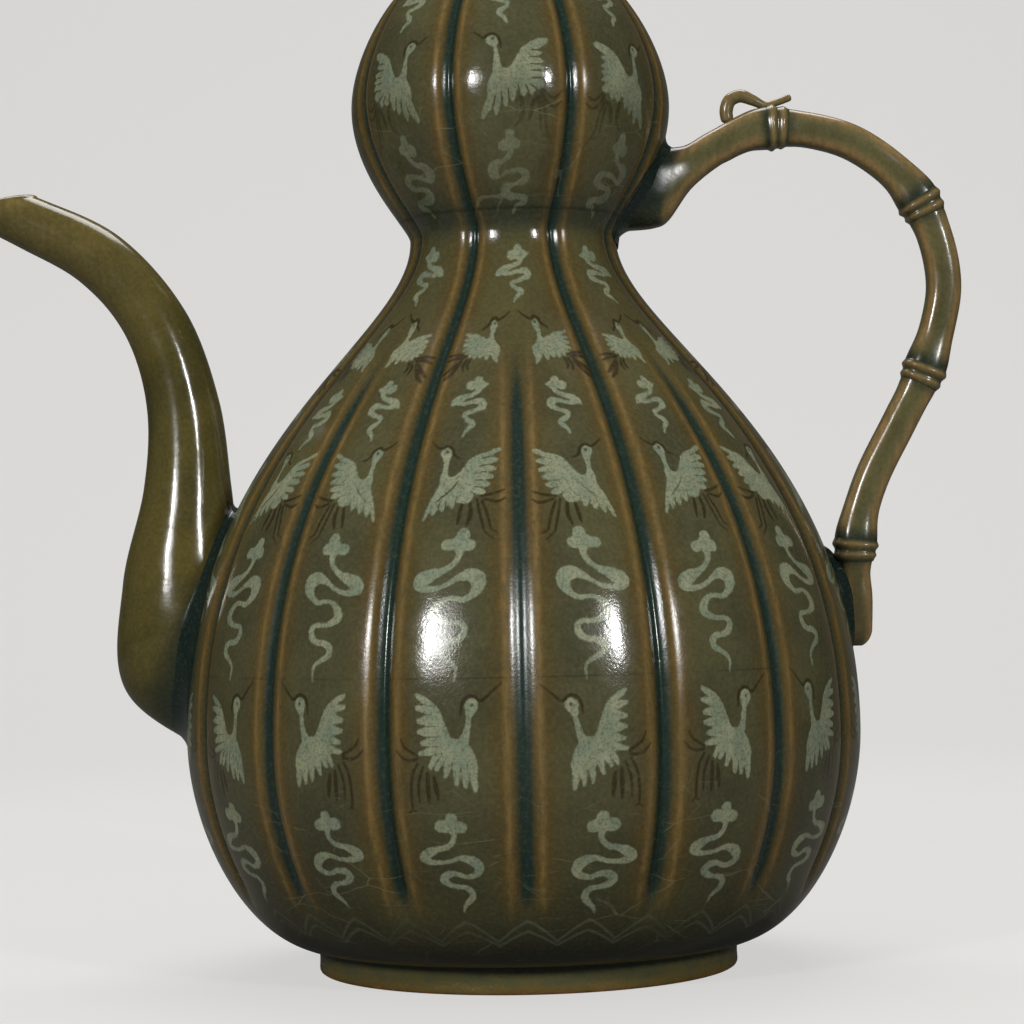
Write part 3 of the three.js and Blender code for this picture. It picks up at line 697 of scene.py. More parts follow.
CLOUD_WIDE = {
    "unit": 0.0277, "middle": (479, 780), "height": 105.1, "outline": [],
    "strokes": [
        [(430, 118, 62), (432, 140, 62)], [(368, 215, 58), (390, 215, 58)],
        [(578, 220, 54), (540, 215, 56)],
        [(466, 200, 72), (452, 290, 36), (470, 360, 28), (522, 420, 26), (602, 470, 34),
         (702, 510, 58), (790, 560, 70), (812, 600, 56), (742, 636, 34), (640, 630, 24),
         (540, 590, 22), (442, 530, 30), (340, 500, 60), (262, 530, 74), (250, 592, 64),
         (300, 680, 34), (380, 728, 26), (452, 720, 22), (532, 722, 22), (612, 782, 38),
         (645, 862, 46), (590, 910, 34), (480, 940, 22), (392, 942, 24), (350, 982, 30),
         (372, 1058, 34), (440, 1098, 28), (520, 1106, 30), (590, 1150, 36), (580, 1212, 32),
         (500, 1262, 24), (440, 1302, 20), (410, 1350, 16), (414, 1402, 13), (422, 1455, 8)],
    ],
    "ink": [], "cuts": [],
}
CLOUD_LOW = {
    "unit": 0.0412, "middle": (375, 1160), "height": 37.8, "outline": [],
    "strokes": [
        [(380, 850, 40), (381, 862, 40)], [(316, 904, 35), (340, 900, 38)],
        [(455, 890, 40), (430, 892, 40)],
        [(385, 892, 44), (374, 945, 20), (386, 990, 18), (430, 1024, 18), (490, 1034, 20),
         (550, 1056, 32), (590, 1086, 34), (560, 1114, 22), (500, 1122, 16), (430, 1120, 14),
         (360, 1100, 16), (300, 1110, 28), (250, 1140, 36), (236, 1182, 30), (270, 1215, 22),
         (330, 1225, 16), (390, 1202, 18), (450, 1206, 26), (482, 1236, 28), (455, 1270, 22),
         (400, 1290, 16), (340, 1302, 18), (311, 1332, 22), (311, 1372, 22), (345, 1406, 18),
         (375, 1442, 12), (386, 1478, 6)],
    ],
    "ink": [], "cuts": [],
}


def placed(motif, angle, mirrored, height=None, size=1.0):
    """A motif at an angle about Z, with a little unevenness of the hand."""
    return {
        "motif": motif,
        "angle": angle,
        "height": (height or motif["height"]) + rng.normal(0, 0.35),
        "flip": -1 if mirrored else 1,
        "size": size * rng.normal(1, 0.02),
        "turn": rng.normal(0, 0.03),
        "shift": rng.normal(0, 0.35),
        "pale": rng.uniform(0.86, 1.0),
        "filled": rng.uniform(0.05, 0.75),
    }


# Sixteen columns of motifs on the lower bulb, which mirror their neighbours, then eight
# over the waist and on the upper bulb.
motifs = []
for column in range(16):
    middle = (column + 0.5) * PITCH / 2
    odd = column % 2 == 1
    for motif, mirrored in (
        (CRANE_SMALL, not odd), (CLOUD_SMALL, not odd), (CRANE_RISING, odd),
        (CLOUD_WIDE, odd), (CRANE_LOW, odd), (CLOUD_LOW, odd),
    ):
        motifs.append(placed(motif, middle, mirrored))
for column in range(8):
    middle = column * PITCH
    odd = column % 2 == 1
    motifs.append(placed(CLOUD_SMALL, middle, odd, height=196.5, size=1.02))
    motifs.append(placed(CLOUD_HIGH, middle, odd))
    motifs.append(placed(CRANE_HIGH, middle, odd))
    motifs.append(placed(CLOUD_SMALL, middle, not odd, height=273.5, size=0.95))

# Half the room for a motif, a distance past every edge, how far black slip spreads, and the
# depth and the steepness of a cut between feathers, in mm.
MOTIF_ROOM = (22, 26)
FAR_OFF = 9.0
INK_SPREAD = 0.06
CUT_DEPTH = 0.4
CUT_STEEPNESS = 2.4


def in_mm(path, motif):
    """Points, with their radii if they have any, in mm about the motif's middle, y upwards."""
    path = np.asarray(path, float)
    cx, cy = motif["middle"]
    columns = [path[:, 0] - cx, cy - path[:, 1]] + ([path[:, 2]] if path.shape[1] == 3 else [])
    return np.stack(columns, axis=1) * motif["unit"]


def nearest_stroke(x, y, paths, motif):
    """Distance to the nearest of a motif's strokes."""
    far = np.full(x.shape, FAR_OFF)
    for path in paths:
        far = np.minimum(far, stroke_distance(x, y, in_mm(softened(path), motif)))
    return far


def draw(angle, radius, arc):
    """Cover of white and of black slip over a grid: 0.5 on an outline, 0.5 more per mm inside."""
    white = np.zeros(angle.shape)
    black = np.zeros(angle.shape)
    for place in motifs:
        motif = place["motif"]
        centre = arc_at(place["height"])
        steep = (arc_at(place["height"] + 1) - arc_at(place["height"] - 1)) / 2
        away = np.mod(angle - place["angle"] + math.pi, 2 * math.pi) - math.pi
        x = (away * radius - place["shift"]) / place["size"]
        y = (arc - centre) / place["size"] / steep
        near = (np.abs(x) < MOTIF_ROOM[0]) & (np.abs(y) < MOTIF_ROOM[1])
        if not near.any():
            continue
        turn = place["turn"]
        x, y = x[near] * place["flip"], y[near]
        x, y = x * math.cos(turn) + y * math.sin(turn), y * math.cos(turn) - x * math.sin(turn)
        far = nearest_stroke(x, y, motif["strokes"], motif)
        if motif["outline"]:
            far = np.minimum(far, polygon_distance(x, y, in_mm(motif["outline"], motif)))
        for path in motif["cuts"]:
            cut_far = stroke_distance(x, y, in_mm(softened(path), motif)).clip(0, 1)
            far = np.maximum(far, CUT_DEPTH - CUT_STEEPNESS * cut_far - place["filled"])
        ink = nearest_stroke(x, y, motif["ink"], motif) - INK_SPREAD
        white[near] = np.maximum(white[near], np.clip(0.5 - far / 2, 0, 1) * place["pale"])
        black[near] = np.maximum(black[near], np.clip(0.5 - ink / 2, 0, 1))
    return white, black


# Petals over the foot: their number, the heights (apex, foot) of the outer and the inner
# outline, how round they are, and half the width of a line, in mm.
PETALS = 32
PETAL_OUTLINES = ((22.8, 16.8), (19.8, 15.6))
PETAL_ROUNDNESS = 1.2
PETAL_LINE_HALF = 0.42


def faint_lines(angle, radius, z):
    """Cover of the thin petal outlines over the foot: |height - zigzag| less the line's width."""
    step = 2 * math.pi / PETALS
    along = np.abs(np.mod(angle, step) / step - 0.5) * 2
    total = np.zeros(angle.shape)
    for apex, foot in PETAL_OUTLINES:
        line = apex - (apex - foot) * (1 - along) ** PETAL_ROUNDNESS
        steep = np.hypot(1.0, (apex - foot) / (step * radius / 2))
        far = np.abs(z - line) * 1.3 / steep - PETAL_LINE_HALF
        total = np.maximum(total, np.clip(0.5 - far, 0, 1))
    return total


# Widths of what the glaze does beside a groove of the belly, and of the painted crest highlight, in
# mm from its middle.
POOL_WIDTH = 2.5
GOLD_START = 4.2
GOLD_WIDTH = 4.2
CREST_PLACE = 4.4
CREST_WIDTH = 1.0
CALM_WIDTH = 5.0


def glaze_values(angle, radius, z):
    """Pooled glaze in the grooves, thin brown glaze beside them, and a painted highlight along the
    crests.

    Each is a bell curve over the distance to the groove. The last value is one in the short
    grooves only, where the gloss is calmer.
    """
    scale = groove_scale(radius)
    distances, strengths = groove_distances(angle, radius), groove_strengths(z)
    pool = np.zeros(angle.shape)
    gold = np.zeros(angle.shape)
    crest = np.zeros(angle.shape)
    for d, strength in zip(distances, strengths):
        pool = np.maximum(pool, strength * bell(d, POOL_WIDTH * scale))
        beyond = (d - GOLD_START * scale).clip(0, None)
        gold = np.maximum(gold, strength * bell(beyond, GOLD_WIDTH * scale))
        # Where a highlight is painted along the crest beside the groove.
        crest = np.maximum(crest, strength * bell(d - CREST_PLACE * scale, CREST_WIDTH * scale))
    calm = strengths[1] * bell(distances[1], CALM_WIDTH * scale)
    return {"pool": pool, "gold": gold, "crest": crest, "calm": calm}


def gourd_sector(name, middle, low, high, columns, rows, inner):
    """A wall piece of the gourd from groove to groove.

    Outside it is the lobed surface at even angles and even arc lengths; inside it is the
    given outline turned through the same angles; flat faces close it on its four sides.
    """
    angle = middle + np.linspace(-PITCH / 2, PITCH / 2, columns + 1)[None, :]
    arc = np.linspace(arc_at(low), arc_at(high), rows + 1)[:, None]
    angle, arc = np.broadcast_arrays(angle, arc)
    radius = np.interp(arc, outline_arc, outline[:, 0])
    z = np.interp(arc, outline_arc, outline[:, 1])
    outer = on_gourd(angle, arc)
    step = 0.25
    across = on_gourd(angle + step / radius, arc) - on_gourd(angle - step / radius, arc)
    upward = on_gourd(angle, arc + step) - on_gourd(angle, arc - step)
    normals = np.cross(across, upward)
    normals /= np.linalg.norm(normals, axis=-1, keepdims=True)
    white, black = draw(angle, radius, arc)
    values = {"slip": white, "ink": black, **glaze_values(angle, radius, z)}
    if low == FOOT_HEIGHT:
        values["faint"] = faint_lines(angle, radius, z)
    inner = np.asarray(inner, float)
    few = middle + np.linspace(-PITCH / 2, PITCH / 2, 13)
    r, height = inner[:, :1], inner[:, 1:]
    inside = np.stack([r * np.cos(few), r * np.sin(few), height + 0 * few], axis=-1)
    shell = Shell()
    shell.grid(outer, values=values, normals=normals)
    shell.grid(inside[:, ::-1])
    shell.cap(np.vstack([outer[0, ::-1], inside[-1]]))
    shell.cap(np.vstack([outer[-1], inside[0, ::-1]]))
    shell.cap(np.vstack([outer[:, 0], inside[:, 0]]))
    shell.cap(np.vstack([outer[::-1, -1], inside[::-1, -1]]))
    return shell.build(name, crease=40)


# Shader maths


class Value:
    """A number of a shader; the signs of arithmetic make Math nodes."""

    def __init__(self, graph, socket):
        self.graph = graph
        self.socket = socket

    def _math(self, operation, first, second):
        node = self.graph.node("ShaderNodeMath", {0: first, 1: second}, operation=operation)
        return Value(self.graph, node.outputs[0])

    def __add__(self, other):
        return self._math("ADD", self, other)

    def __radd__(self, other):
        return self._math("ADD", other, self)

    def __sub__(self, other):
        return self._math("SUBTRACT", self, other)

    def __rsub__(self, other):
        return self._math("SUBTRACT", other, self)

    def __mul__(self, other):
        return self._math("MULTIPLY", self, other)

    def __rmul__(self, other):
        return self._math("MULTIPLY", other, self)

    def lower(self, other):
        return self._math("MINIMUM", self, other)

    def higher(self, other):
        return self._math("MAXIMUM", self, other)

    def ramp(self, low, high, start=0.0, end=1.0):
        """A smooth step from start at low to end at high."""
        node = self.graph.node(
            "ShaderNodeMapRange",
            {"Value": self, "From Min": low, "From Max": high, "To Min": start, "To Max": end},
            interpolation_type="SMOOTHSTEP",
        )
        return Value(self.graph, node.outputs["Result"])

    def fade(self, low, high, start=1.0):
        """A smooth step from start at low down to zero at high."""
        return self.ramp(low, high, start, 0.0)


class Graph:
    """The node tree of one material."""

    def __init__(self, name):
        self.material = bpy.data.materials.new(name)
        self.material.use_nodes = True
        self.tree = self.material.node_tree
        self.tree.nodes.clear()
        self.place = self.tree.nodes.new("ShaderNodeTexCoord").outputs["Object"]

    def put(self, socket, item):
        """Links a value or a socket to a socket, or sets the socket to plain numbers."""
        if isinstance(item, Value):
            self.tree.links.new(item.socket, socket)
        elif isinstance(item, bpy.types.NodeSocket):
            self.tree.links.new(item, socket)
        else:
            socket.default_value = item

    def node(self, kind, inputs=None, **settings):
        """A node of any type, with its settings first and then what goes into its sockets."""
        node = self.tree.nodes.new(kind)
        for key, value in settings.items():
            setattr(node, key, value)
        for key, item in (inputs or {}).items():
            self.put(node.inputs[key], item)
        return node

    def attribute(self, name):
        node = self.node("ShaderNodeAttribute", attribute_name=name)
        return Value(self, node.outputs["Fac"])

    def noise(self, size, detail=2.0, roughness=0.5, stretch=None):
        """Noise whose features are about size mm across."""
        where = self.place
        if stretch:
            where = self.node("ShaderNodeMapping", {"Vector": where, "Scale": stretch}).outputs[0]
        node = self.node(
            "ShaderNodeTexNoise",
            {"Vector": where, "Scale": 1 / (size * MM), "Detail": detail, "Roughness": roughness},
        )
        return Value(self, node.outputs["Fac"])

    def height(self):
        """The height over the table, in mm."""
        split = self.node("ShaderNodeSeparateXYZ", {"Vector": self.place})
        return Value(self, split.outputs["Z"]) * 1000.0

    def mix(self, factor, first, second):
        """The first colour where the factor is zero, the second where it is one."""
        node = self.node("ShaderNodeMix", {0: factor, 6: first, 7: second}, data_type="RGBA")
        return node.outputs[2]

    def finish(self, colour, roughness, bump, distance):
        """Glossy ware of a colour and roughness, with bumps as high as the distance in metres."""
        dent = self.node("ShaderNodeBump", {"Height": bump, "Distance": distance})
        shader = self.node("ShaderNodeBsdfPrincipled", {
            "Base Color": colour, "Roughness": roughness, "IOR": 1.5,
            "Normal": dent.outputs["Normal"],
        })
        self.node("ShaderNodeOutputMaterial", {"Surface": shader.outputs["BSDF"]})
        return self.material


def rgb(red, green, blue):
    """A colour given as three bytes, in linear light."""
    shares = [v / 255 for v in (red, green, blue)]
    return (*(v / 12.92 if v <= 0.04 else ((v + 0.055) / 1.055) ** 2.4 for v in shares), 1.0)


# Glazes

OLIVE = rgb(82, 80, 52)
DEEP_OLIVE = rgb(69, 68, 46)
GOLDEN = rgb(87, 68, 28)
TEAL = rgb(23, 45, 39)
# Painted highlight: a lighter tan along the crests beside the grooves.
PAINTED_CREST_HIGHLIGHT = rgb(130, 106, 60)
SHOULDER_BROWN = rgb(98, 88, 46)
# Painted shade: darker colours for the lower belly and just above the foot.
PAINTED_LOW_SHADE = rgb(46, 46, 26)
PAINTED_FOOT_SHADE = rgb(22, 26, 20)
COOL_SLIP = rgb(124, 136, 114)
WARM_SLIP = rgb(150, 153, 122)
SLIP_SPECKS = rgb(86, 92, 70)
BLACK_SLIP = rgb(42, 33, 12)
PETAL_LINE = rgb(108, 114, 94)
SEAM_LINE = rgb(30, 30, 20)
CRAZE_LINE = rgb(140, 140, 106)
BUBBLES = rgb(132, 126, 88)
PINHOLES = rgb(12, 14, 8)

# Heights in mm between which a tone or a painted shade of the inlaid walls comes, or goes again.
SHOULDER_TONE, SHOULDER_TONE_END = (140, 190), (206, 214)
PAINTED_LOW_SHADE_END, PAINTED_FOOT_SHADE_END = (20, 90), (6, 24)
WAIST_POOL, WAIST_POOL_END = (205, 214), (214, 222)
THICK_GLAZE, THICK_GLAZE_END = (208, 216), (230, 258)
BELLY_SEAM, BELLY_SEAM_END = (86.4, 86.8), (86.9, 87.3)
WAIST_SEAM, WAIST_SEAM_END = (214.6, 215.3), (215.3, 216.2)
BELLY_CRAZE_END = (40, 75)
UPPER_CRAZE, UPPER_CRAZE_END = (212, 220), (240, 255)

# Craze lines: cells for each metre along x, y and z, and the width of a line between them.
CRAZE_CELLS = (((24, 24, 75), 0.009), ((45, 45, 150), 0.011))
CRAZE_PATCHES = (14, 9)
CRAZE_STRENGTHS = (1.0, 0.7)
CRAZE_WOBBLE = 0.006


def craze_lines(graph):
    """Fine, mostly level craze lines: edges of flat cells, broken up by noise."""
    wobble = graph.node("ShaderNodeTexNoise", {"Vector": graph.place, "Scale": 55.0, "Detail": 3.0})
    shift = graph.node(
        "ShaderNodeVectorMath", {0: wobble.outputs["Color"], 1: (CRAZE_WOBBLE,) * 3},
        operation="MULTIPLY")
    bent = graph.node("ShaderNodeVectorMath", {0: graph.place, 1: shift.outputs[0]}, operation="ADD")
    sets = []
    for (cells, width), patches, strength in zip(CRAZE_CELLS, CRAZE_PATCHES, CRAZE_STRENGTHS):
        flat = graph.node("ShaderNodeMapping", {"Vector": bent.outputs[0], "Scale": cells})
        edges = graph.node(
            "ShaderNodeTexVoronoi", {"Vector": flat.outputs[0], "Scale": 1.0},
            feature="DISTANCE_TO_EDGE")
        line = Value(graph, edges.outputs["Distance"]).fade(width * 0.4, width)
        sets.append(line * graph.noise(patches, 1).ramp(0.5, 0.62) * strength)
    return sets[0].higher(sets[1])


def tones_and_painted_shade(graph, colour, z):
    """The inlaid walls' broad tones: browner on the shoulder, and painted shade that darkens them
    towards the foot.
    """
    shoulder = z.ramp(*SHOULDER_TONE) * z.fade(*SHOULDER_TONE_END)
    colour = graph.mix(shoulder * 0.3, colour, SHOULDER_BROWN)
    # Painted shade: the walls darken towards the foot, and more just above it.
    colour = graph.mix(z.fade(*PAINTED_LOW_SHADE_END) * 0.4, colour, PAINTED_LOW_SHADE)
    return graph.mix(z.fade(*PAINTED_FOOT_SHADE_END, 0.85), colour, PAINTED_FOOT_SHADE)


def inlay(graph, colour, z, clouds, patch, fine, streaks):
    """White and black slip under the glaze, petal outlines over the foot, and two seams."""
    waist = z.ramp(*WAIST_POOL) * z.fade(*WAIST_POOL_END)
    colour = graph.mix(waist * 0.5, colour, TEAL)
    sunk = 1.0 - z.ramp(*THICK_GLAZE) * z.ramp(*THICK_GLAZE_END, 1.0, 0.12) * 0.55
    specks = graph.noise(0.75, 1)
    grain = (fine - 0.5) * 0.26 + (patch - 0.5) * 0.08
    slip = (graph.attribute("slip") + grain).ramp(0.34, 0.6)
    whitish = graph.mix(patch.ramp(0.3, 0.7), COOL_SLIP, WARM_SLIP)
    whitish = graph.mix(specks.ramp(0.45, 0.7) * 0.5, whitish, SLIP_SPECKS)
    thin = 0.76 + 0.22 * streaks
    colour = graph.mix(slip * thin * sunk, colour, whitish)
    ink = (graph.attribute("ink") + grain * 0.4).ramp(0.36, 0.6)
    colour = graph.mix(ink * 0.8 * sunk, colour, BLACK_SLIP)
    outlined = graph.attribute("faint").ramp(0.2, 0.75) * clouds.ramp(0.3, 0.6, 0.12, 0.42)
    colour = graph.mix(outlined, colour, PETAL_LINE)
    seam = z.ramp(*BELLY_SEAM) * z.fade(*BELLY_SEAM_END) * clouds.ramp(0.4, 0.6)
    seam = seam + z.ramp(*WAIST_SEAM) * z.fade(*WAIST_SEAM_END) * 1.4
    return graph.mix(seam * 0.45, colour, SEAM_LINE)


def glaze(name, base, deep, golden, teal, cracked=0.0, inlaid=False, roughness=0.15, grainy=0.02):
    """Celadon glaze: olive, teal where it pools, brown and golden where it runs thin."""
    graph = Graph(name)
    clouds = graph.noise(22, 4, 0.55)
    fine = graph.noise(1.1, 3, 0.7)
    patch = graph.noise(7, 3, 0.6)
    streaks = graph.noise(1.6, 3, 0.6, stretch=(1, 1, 0.12)).ramp(0.3, 0.7)
    z = graph.height()
    pool = graph.attribute("pool")
    colour = graph.mix(clouds.ramp(0.35, 0.65), base, deep)
    if inlaid:
        colour = tones_and_painted_shade(graph, colour, z)
    thinned = 0.2 + 0.55 * patch + 0.5 * streaks
    colour = graph.mix((graph.attribute("gold") * thinned).lower(0.9), colour, golden)
    if inlaid:
        crest = graph.attribute("crest")
        # Painted highlight: a lighter tan band along the crests beside the grooves.
        colour = graph.mix(crest * (0.25 + 0.5 * streaks), colour, PAINTED_CREST_HIGHLIGHT)
    colour = graph.mix(pool.ramp(0.18, 0.85) * 0.95, colour, teal)
    if inlaid:
        colour = inlay(graph, colour, z, clouds, patch, fine, streaks)
    if cracked:
        upper = z.ramp(*UPPER_CRAZE) * z.fade(*UPPER_CRAZE_END, 0.9)
        crazed = z.ramp(*BELLY_CRAZE_END, 1.0, 0.1) + upper
        colour = graph.mix(craze_lines(graph) * crazed * cracked, colour, CRAZE_LINE)
    dust = fine.ramp(0.25, 0.75, -0.2, 0.16)
    colour = graph.mix(dust.higher(0.0) * 0.6, colour, BUBBLES)
    colour = graph.mix((0.0 - dust).higher(0.0), colour, PINHOLES)
    uneven = graph.noise(16, 2) * 0.35 + graph.noise(2.2, 2) * 0.05 + graph.noise(0.65, 1) * grainy
    gloss = patch.ramp(0.3, 0.7, roughness * 0.85, roughness * 1.2) + pool * 0.02
    if inlaid:
        gloss = gloss + crest * 0.1 + graph.attribute("calm") * 0.09
    return graph.finish(colour, gloss, uneven, 0.00045)


def foot_material():
    """Green glaze that thins to rust at the foot's edge, and fired clay under it."""
    graph = Graph("foot_glaze")
    patch = graph.noise(6, 4, 0.6)
    fine = graph.noise(0.9, 3, 0.7)
    z = graph.height() + (patch - 0.5) * 2.2
    colour = graph.mix(patch.ramp(0.3, 0.7), rgb(92, 86, 50), rgb(80, 82, 56))
    colour = graph.mix(z.ramp(5.0, 7.8) * 0.75, colour, rgb(44, 62, 54))
    colour = graph.mix(z.fade(0.6, 4.2, 0.9), colour, rgb(106, 86, 38))
    colour = graph.mix(z.fade(0.2, 0.9, 0.8), colour, rgb(150, 98, 46))
    colour = graph.mix(fine.ramp(0.4, 0.8) * 0.2, colour, rgb(24, 22, 14))
    return graph.finish(colour, z.ramp(0.6, 1.8, 0.6, 0.2), fine * 0.4 + patch * 2.0, 0.0002)


def clay_material():
    """Bare fired clay, warm and matt, with darker specks."""
    graph = Graph("bare_clay")
    patch = graph.noise(5, 4, 0.6)
    fine = graph.noise(0.7, 3, 0.7)
    colour = graph.mix(patch.ramp(0.3, 0.7), rgb(150, 112, 78), rgb(126, 88, 58))
    colour = graph.mix(fine.ramp(0.55, 0.8) * 0.5, colour, rgb(70, 46, 32))
    return graph.finish(colour, fine.ramp(0.3, 0.7, 0.6, 0.8), fine, 0.00015)


body_glaze = glaze("body_glaze", OLIVE, DEEP_OLIVE, GOLDEN, TEAL, 0.3, inlaid=True, grainy=0.05)
plain_glaze = glaze("body_glaze_plain", OLIVE, DEEP_OLIVE, GOLDEN, TEAL, 0.05)
spout_glaze = glaze(
    "spout_glaze", rgb(87, 78, 37), rgb(70, 65, 32), rgb(122, 104, 58), TEAL, 0.12)
handle_glaze = glaze(
    "handle_glaze", rgb(88, 86, 54), rgb(74, 74, 46), rgb(150, 120, 76), rgb(30, 42, 32), 0.05,
    roughness=0.19)
pooled_glaze = glaze(
    "pooled_glaze", rgb(34, 48, 38), rgb(26, 40, 34), GOLDEN, rgb(20, 36, 32))
foot_glaze = foot_material()
bare_clay = clay_material()

# The gourd's walls and foot

inner_wall = [(radius_at(z) - WALL, z) for z in np.linspace(SEAM, FLOOR_TURN, 60)] + [
    (FOOT_INSIDE + 4, FLOOR_TOP + 0.6), (FOOT_INSIDE, FLOOR_TOP), (30, FLOOR_TOP), (0, FLOOR_TOP),
    (0, BASE_RECESS), (30, BASE_RECESS), (BASE_EDGE, BASE_RECESS), (BASE_EDGE, FOOT_HEIGHT),
]
ceiling = SHOULDER_HEIGHT - WALL
inner_crown = [(NECK_BORE, SHOULDER_HEIGHT), (NECK_BORE, ceiling)] + [
    (radius_at(z) - WALL, z) for z in np.linspace(ceiling, SEAM, 40)
]

side_grid = ((150, 460))
lobe_grid = ((92, 240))
for k in range(8):
    side = gourd_sector(
        f"lower_bulb_side_{k + 1}", k * PITCH, FOOT_HEIGHT, SEAM, *side_grid, inner_wall)
    finish_piece(side, ["lower_bulb"], "vessel", body_glaze)
    lobe = gourd_sector(
        f"upper_bulb_lobe_{k + 1}", k * PITCH, SEAM, SHOULDER_HEIGHT, *lobe_grid, inner_crown)
    finish_piece(lobe, ["upper_bulb"], "vessel", body_glaze)

foot_outline = rounded(
    [(FOOT_INSIDE, 0), (FOOT_RADIUS, 0), (FOOT_RADIUS - 0.3, FOOT_HEIGHT * 0.5),
     (FOOT_RADIUS, FOOT_HEIGHT), (FOOT_INSIDE, FOOT_HEIGHT)], [0.8, 1.6, 1.5, 0.0, 0.0])
finish_piece(turned(foot_outline).build("foot"), ["foot_ring"], "vessel", foot_glaze)

# The neck

neck_outline = np.vstack([
    [(NECK_BORE, SHOULDER_HEIGHT), (SHOULDER_RADIUS, SHOULDER_HEIGHT)],
    bezier([(SHOULDER_RADIUS, SHOULDER_HEIGHT), (NECK_RADIUS, SHOULDER_HEIGHT + 0.3),
            (NECK_RADIUS, SHOULDER_HEIGHT + 4.5)], np.linspace(0.05, 1, 10)),
    bezier([(NECK_RADIUS, MOUTH_HEIGHT - 7), (NECK_RADIUS, MOUTH_HEIGHT - 4),
            (LIP_RADIUS, MOUTH_HEIGHT - 3.5), (LIP_RADIUS, MOUTH_HEIGHT - LIP_ROUNDING)],
           np.linspace(0, 1, 12)),
    bezier([(LIP_RADIUS, MOUTH_HEIGHT - LIP_ROUNDING), (LIP_RADIUS, MOUTH_HEIGHT),
            (LIP_RADIUS - LIP_ROUNDING, MOUTH_HEIGHT)], np.linspace(0.15, 1, 7)),
    bezier([(NECK_BORE + BORE_ROUNDING, MOUTH_HEIGHT), (NECK_BORE, MOUTH_HEIGHT),
            (NECK_BORE, MOUTH_HEIGHT - BORE_ROUNDING)], np.linspace(0, 1, 6)),
])
on_outside = neck_outline[:, 0] > 11
neck_pool = smooth(neck_outline[:, 1], SHOULDER_HEIGHT + 4, SHOULDER_HEIGHT) * on_outside
neck_gold = smooth(neck_outline[:, 1], MOUTH_HEIGHT - 3, MOUTH_HEIGHT - 0.5)
neck = turned(neck_outline, 120, {"pool": neck_pool, "gold": neck_gold}).build("mouth_neck")
finish_piece(neck, ["neck"], "vessel", plain_glaze)

# The spout

SPOUT_RINGS = 260
BORE_RINGS = 120

spout_stations = np.hstack([
    np.array(SPOUT_OUTER_BEND, float), np.array(SPOUT_INNER_BEND, float),
    np.array(SPOUT_HALF_BREADTH, float)[:, None],
])[::-1]
spout_angle = around(72)
finely = np.linspace(0, 1, 901)[:, None]
cut = np.subtract(MOUTH_TIP, MOUTH_BACK)
cut_normal = np.array([cut[1], 0, -cut[0]]) / np.hypot(*cut)
cut_normal *= np.sign(cut_normal[2])
cut_at = cut_normal @ np.array([MOUTH_BACK[0], 0, MOUTH_BACK[1]])


def trimmed(grown, stations, angle, exponent, sunk):
    """Shares at which each side of a tube leaves the gourd, less a sunk depth."""
    points = tube_points(stations, finely + 0 * angle, angle, exponent, grown)
    return crossing(clearance(points) + sunk)


def spout_grid(grown, rings):
    """Rings from just inside the gourd to the slanted mouth, each side with its own last share."""
    start = trimmed(grown, spout_stations, spout_angle, 2, SPOUT_SUNK)
    points = tube_points(spout_stations, finely + 0 * spout_angle, spout_angle, 2, grown)
    stop = crossing(points @ cut_normal - cut_at)
    share = start + (stop - start) * np.linspace(0, 1, rings)[:, None] ** 0.92
    return tube_points(spout_stations, share, spout_angle, 2, grown)


def spout_tube():
    """The spout: an outer and an inner tube, joined by a rim round the mouth.

    The rim is middle + half * cos t + normal * rounding * sin t from one tube to the other.
    """
    outer = spout_grid(0.0, SPOUT_RINGS)
    inner = spout_grid(-SPOUT_WALL, BORE_RINGS)
    rim_turn = np.linspace(0, math.pi, 11)[1:-1, None, None]
    rim_middle = (outer[-1] + inner[-1]) / 2
    rim_half = (outer[-1] - inner[-1]) / 2
    rim = rim_middle + rim_half * np.cos(rim_turn) + cut_normal * RIM_ROUNDING * np.sin(rim_turn)
    left = 1 - np.linspace(0, 1, SPOUT_RINGS)[:, None] + 0 * spout_angle
    gold = smooth(left, 0.07, 0.0) * 0.6 + smooth(left, 0.5, 0.15) * 0.35
    pool = smooth(left, 0.9, 1.0) * 0.7
    shell = Shell()
    shell.grid(outer, closed=True, values={"gold": gold, "pool": pool})
    shell.grid(np.concatenate([outer[-1:], rim, inner[-1:]]), closed=True, values={"gold": 0.9})
    shell.grid(inner[::-1], closed=True)
    shell.grid(np.stack([inner[0], outer[0]]), closed=True)
    return shell.build("spout_tube")


def sunk_in(point, towards, depth):
    """A point moved by a depth towards another one."""
    way = towards - point
    return point + way * depth / np.linalg.norm(way, axis=-1, keepdims=True)


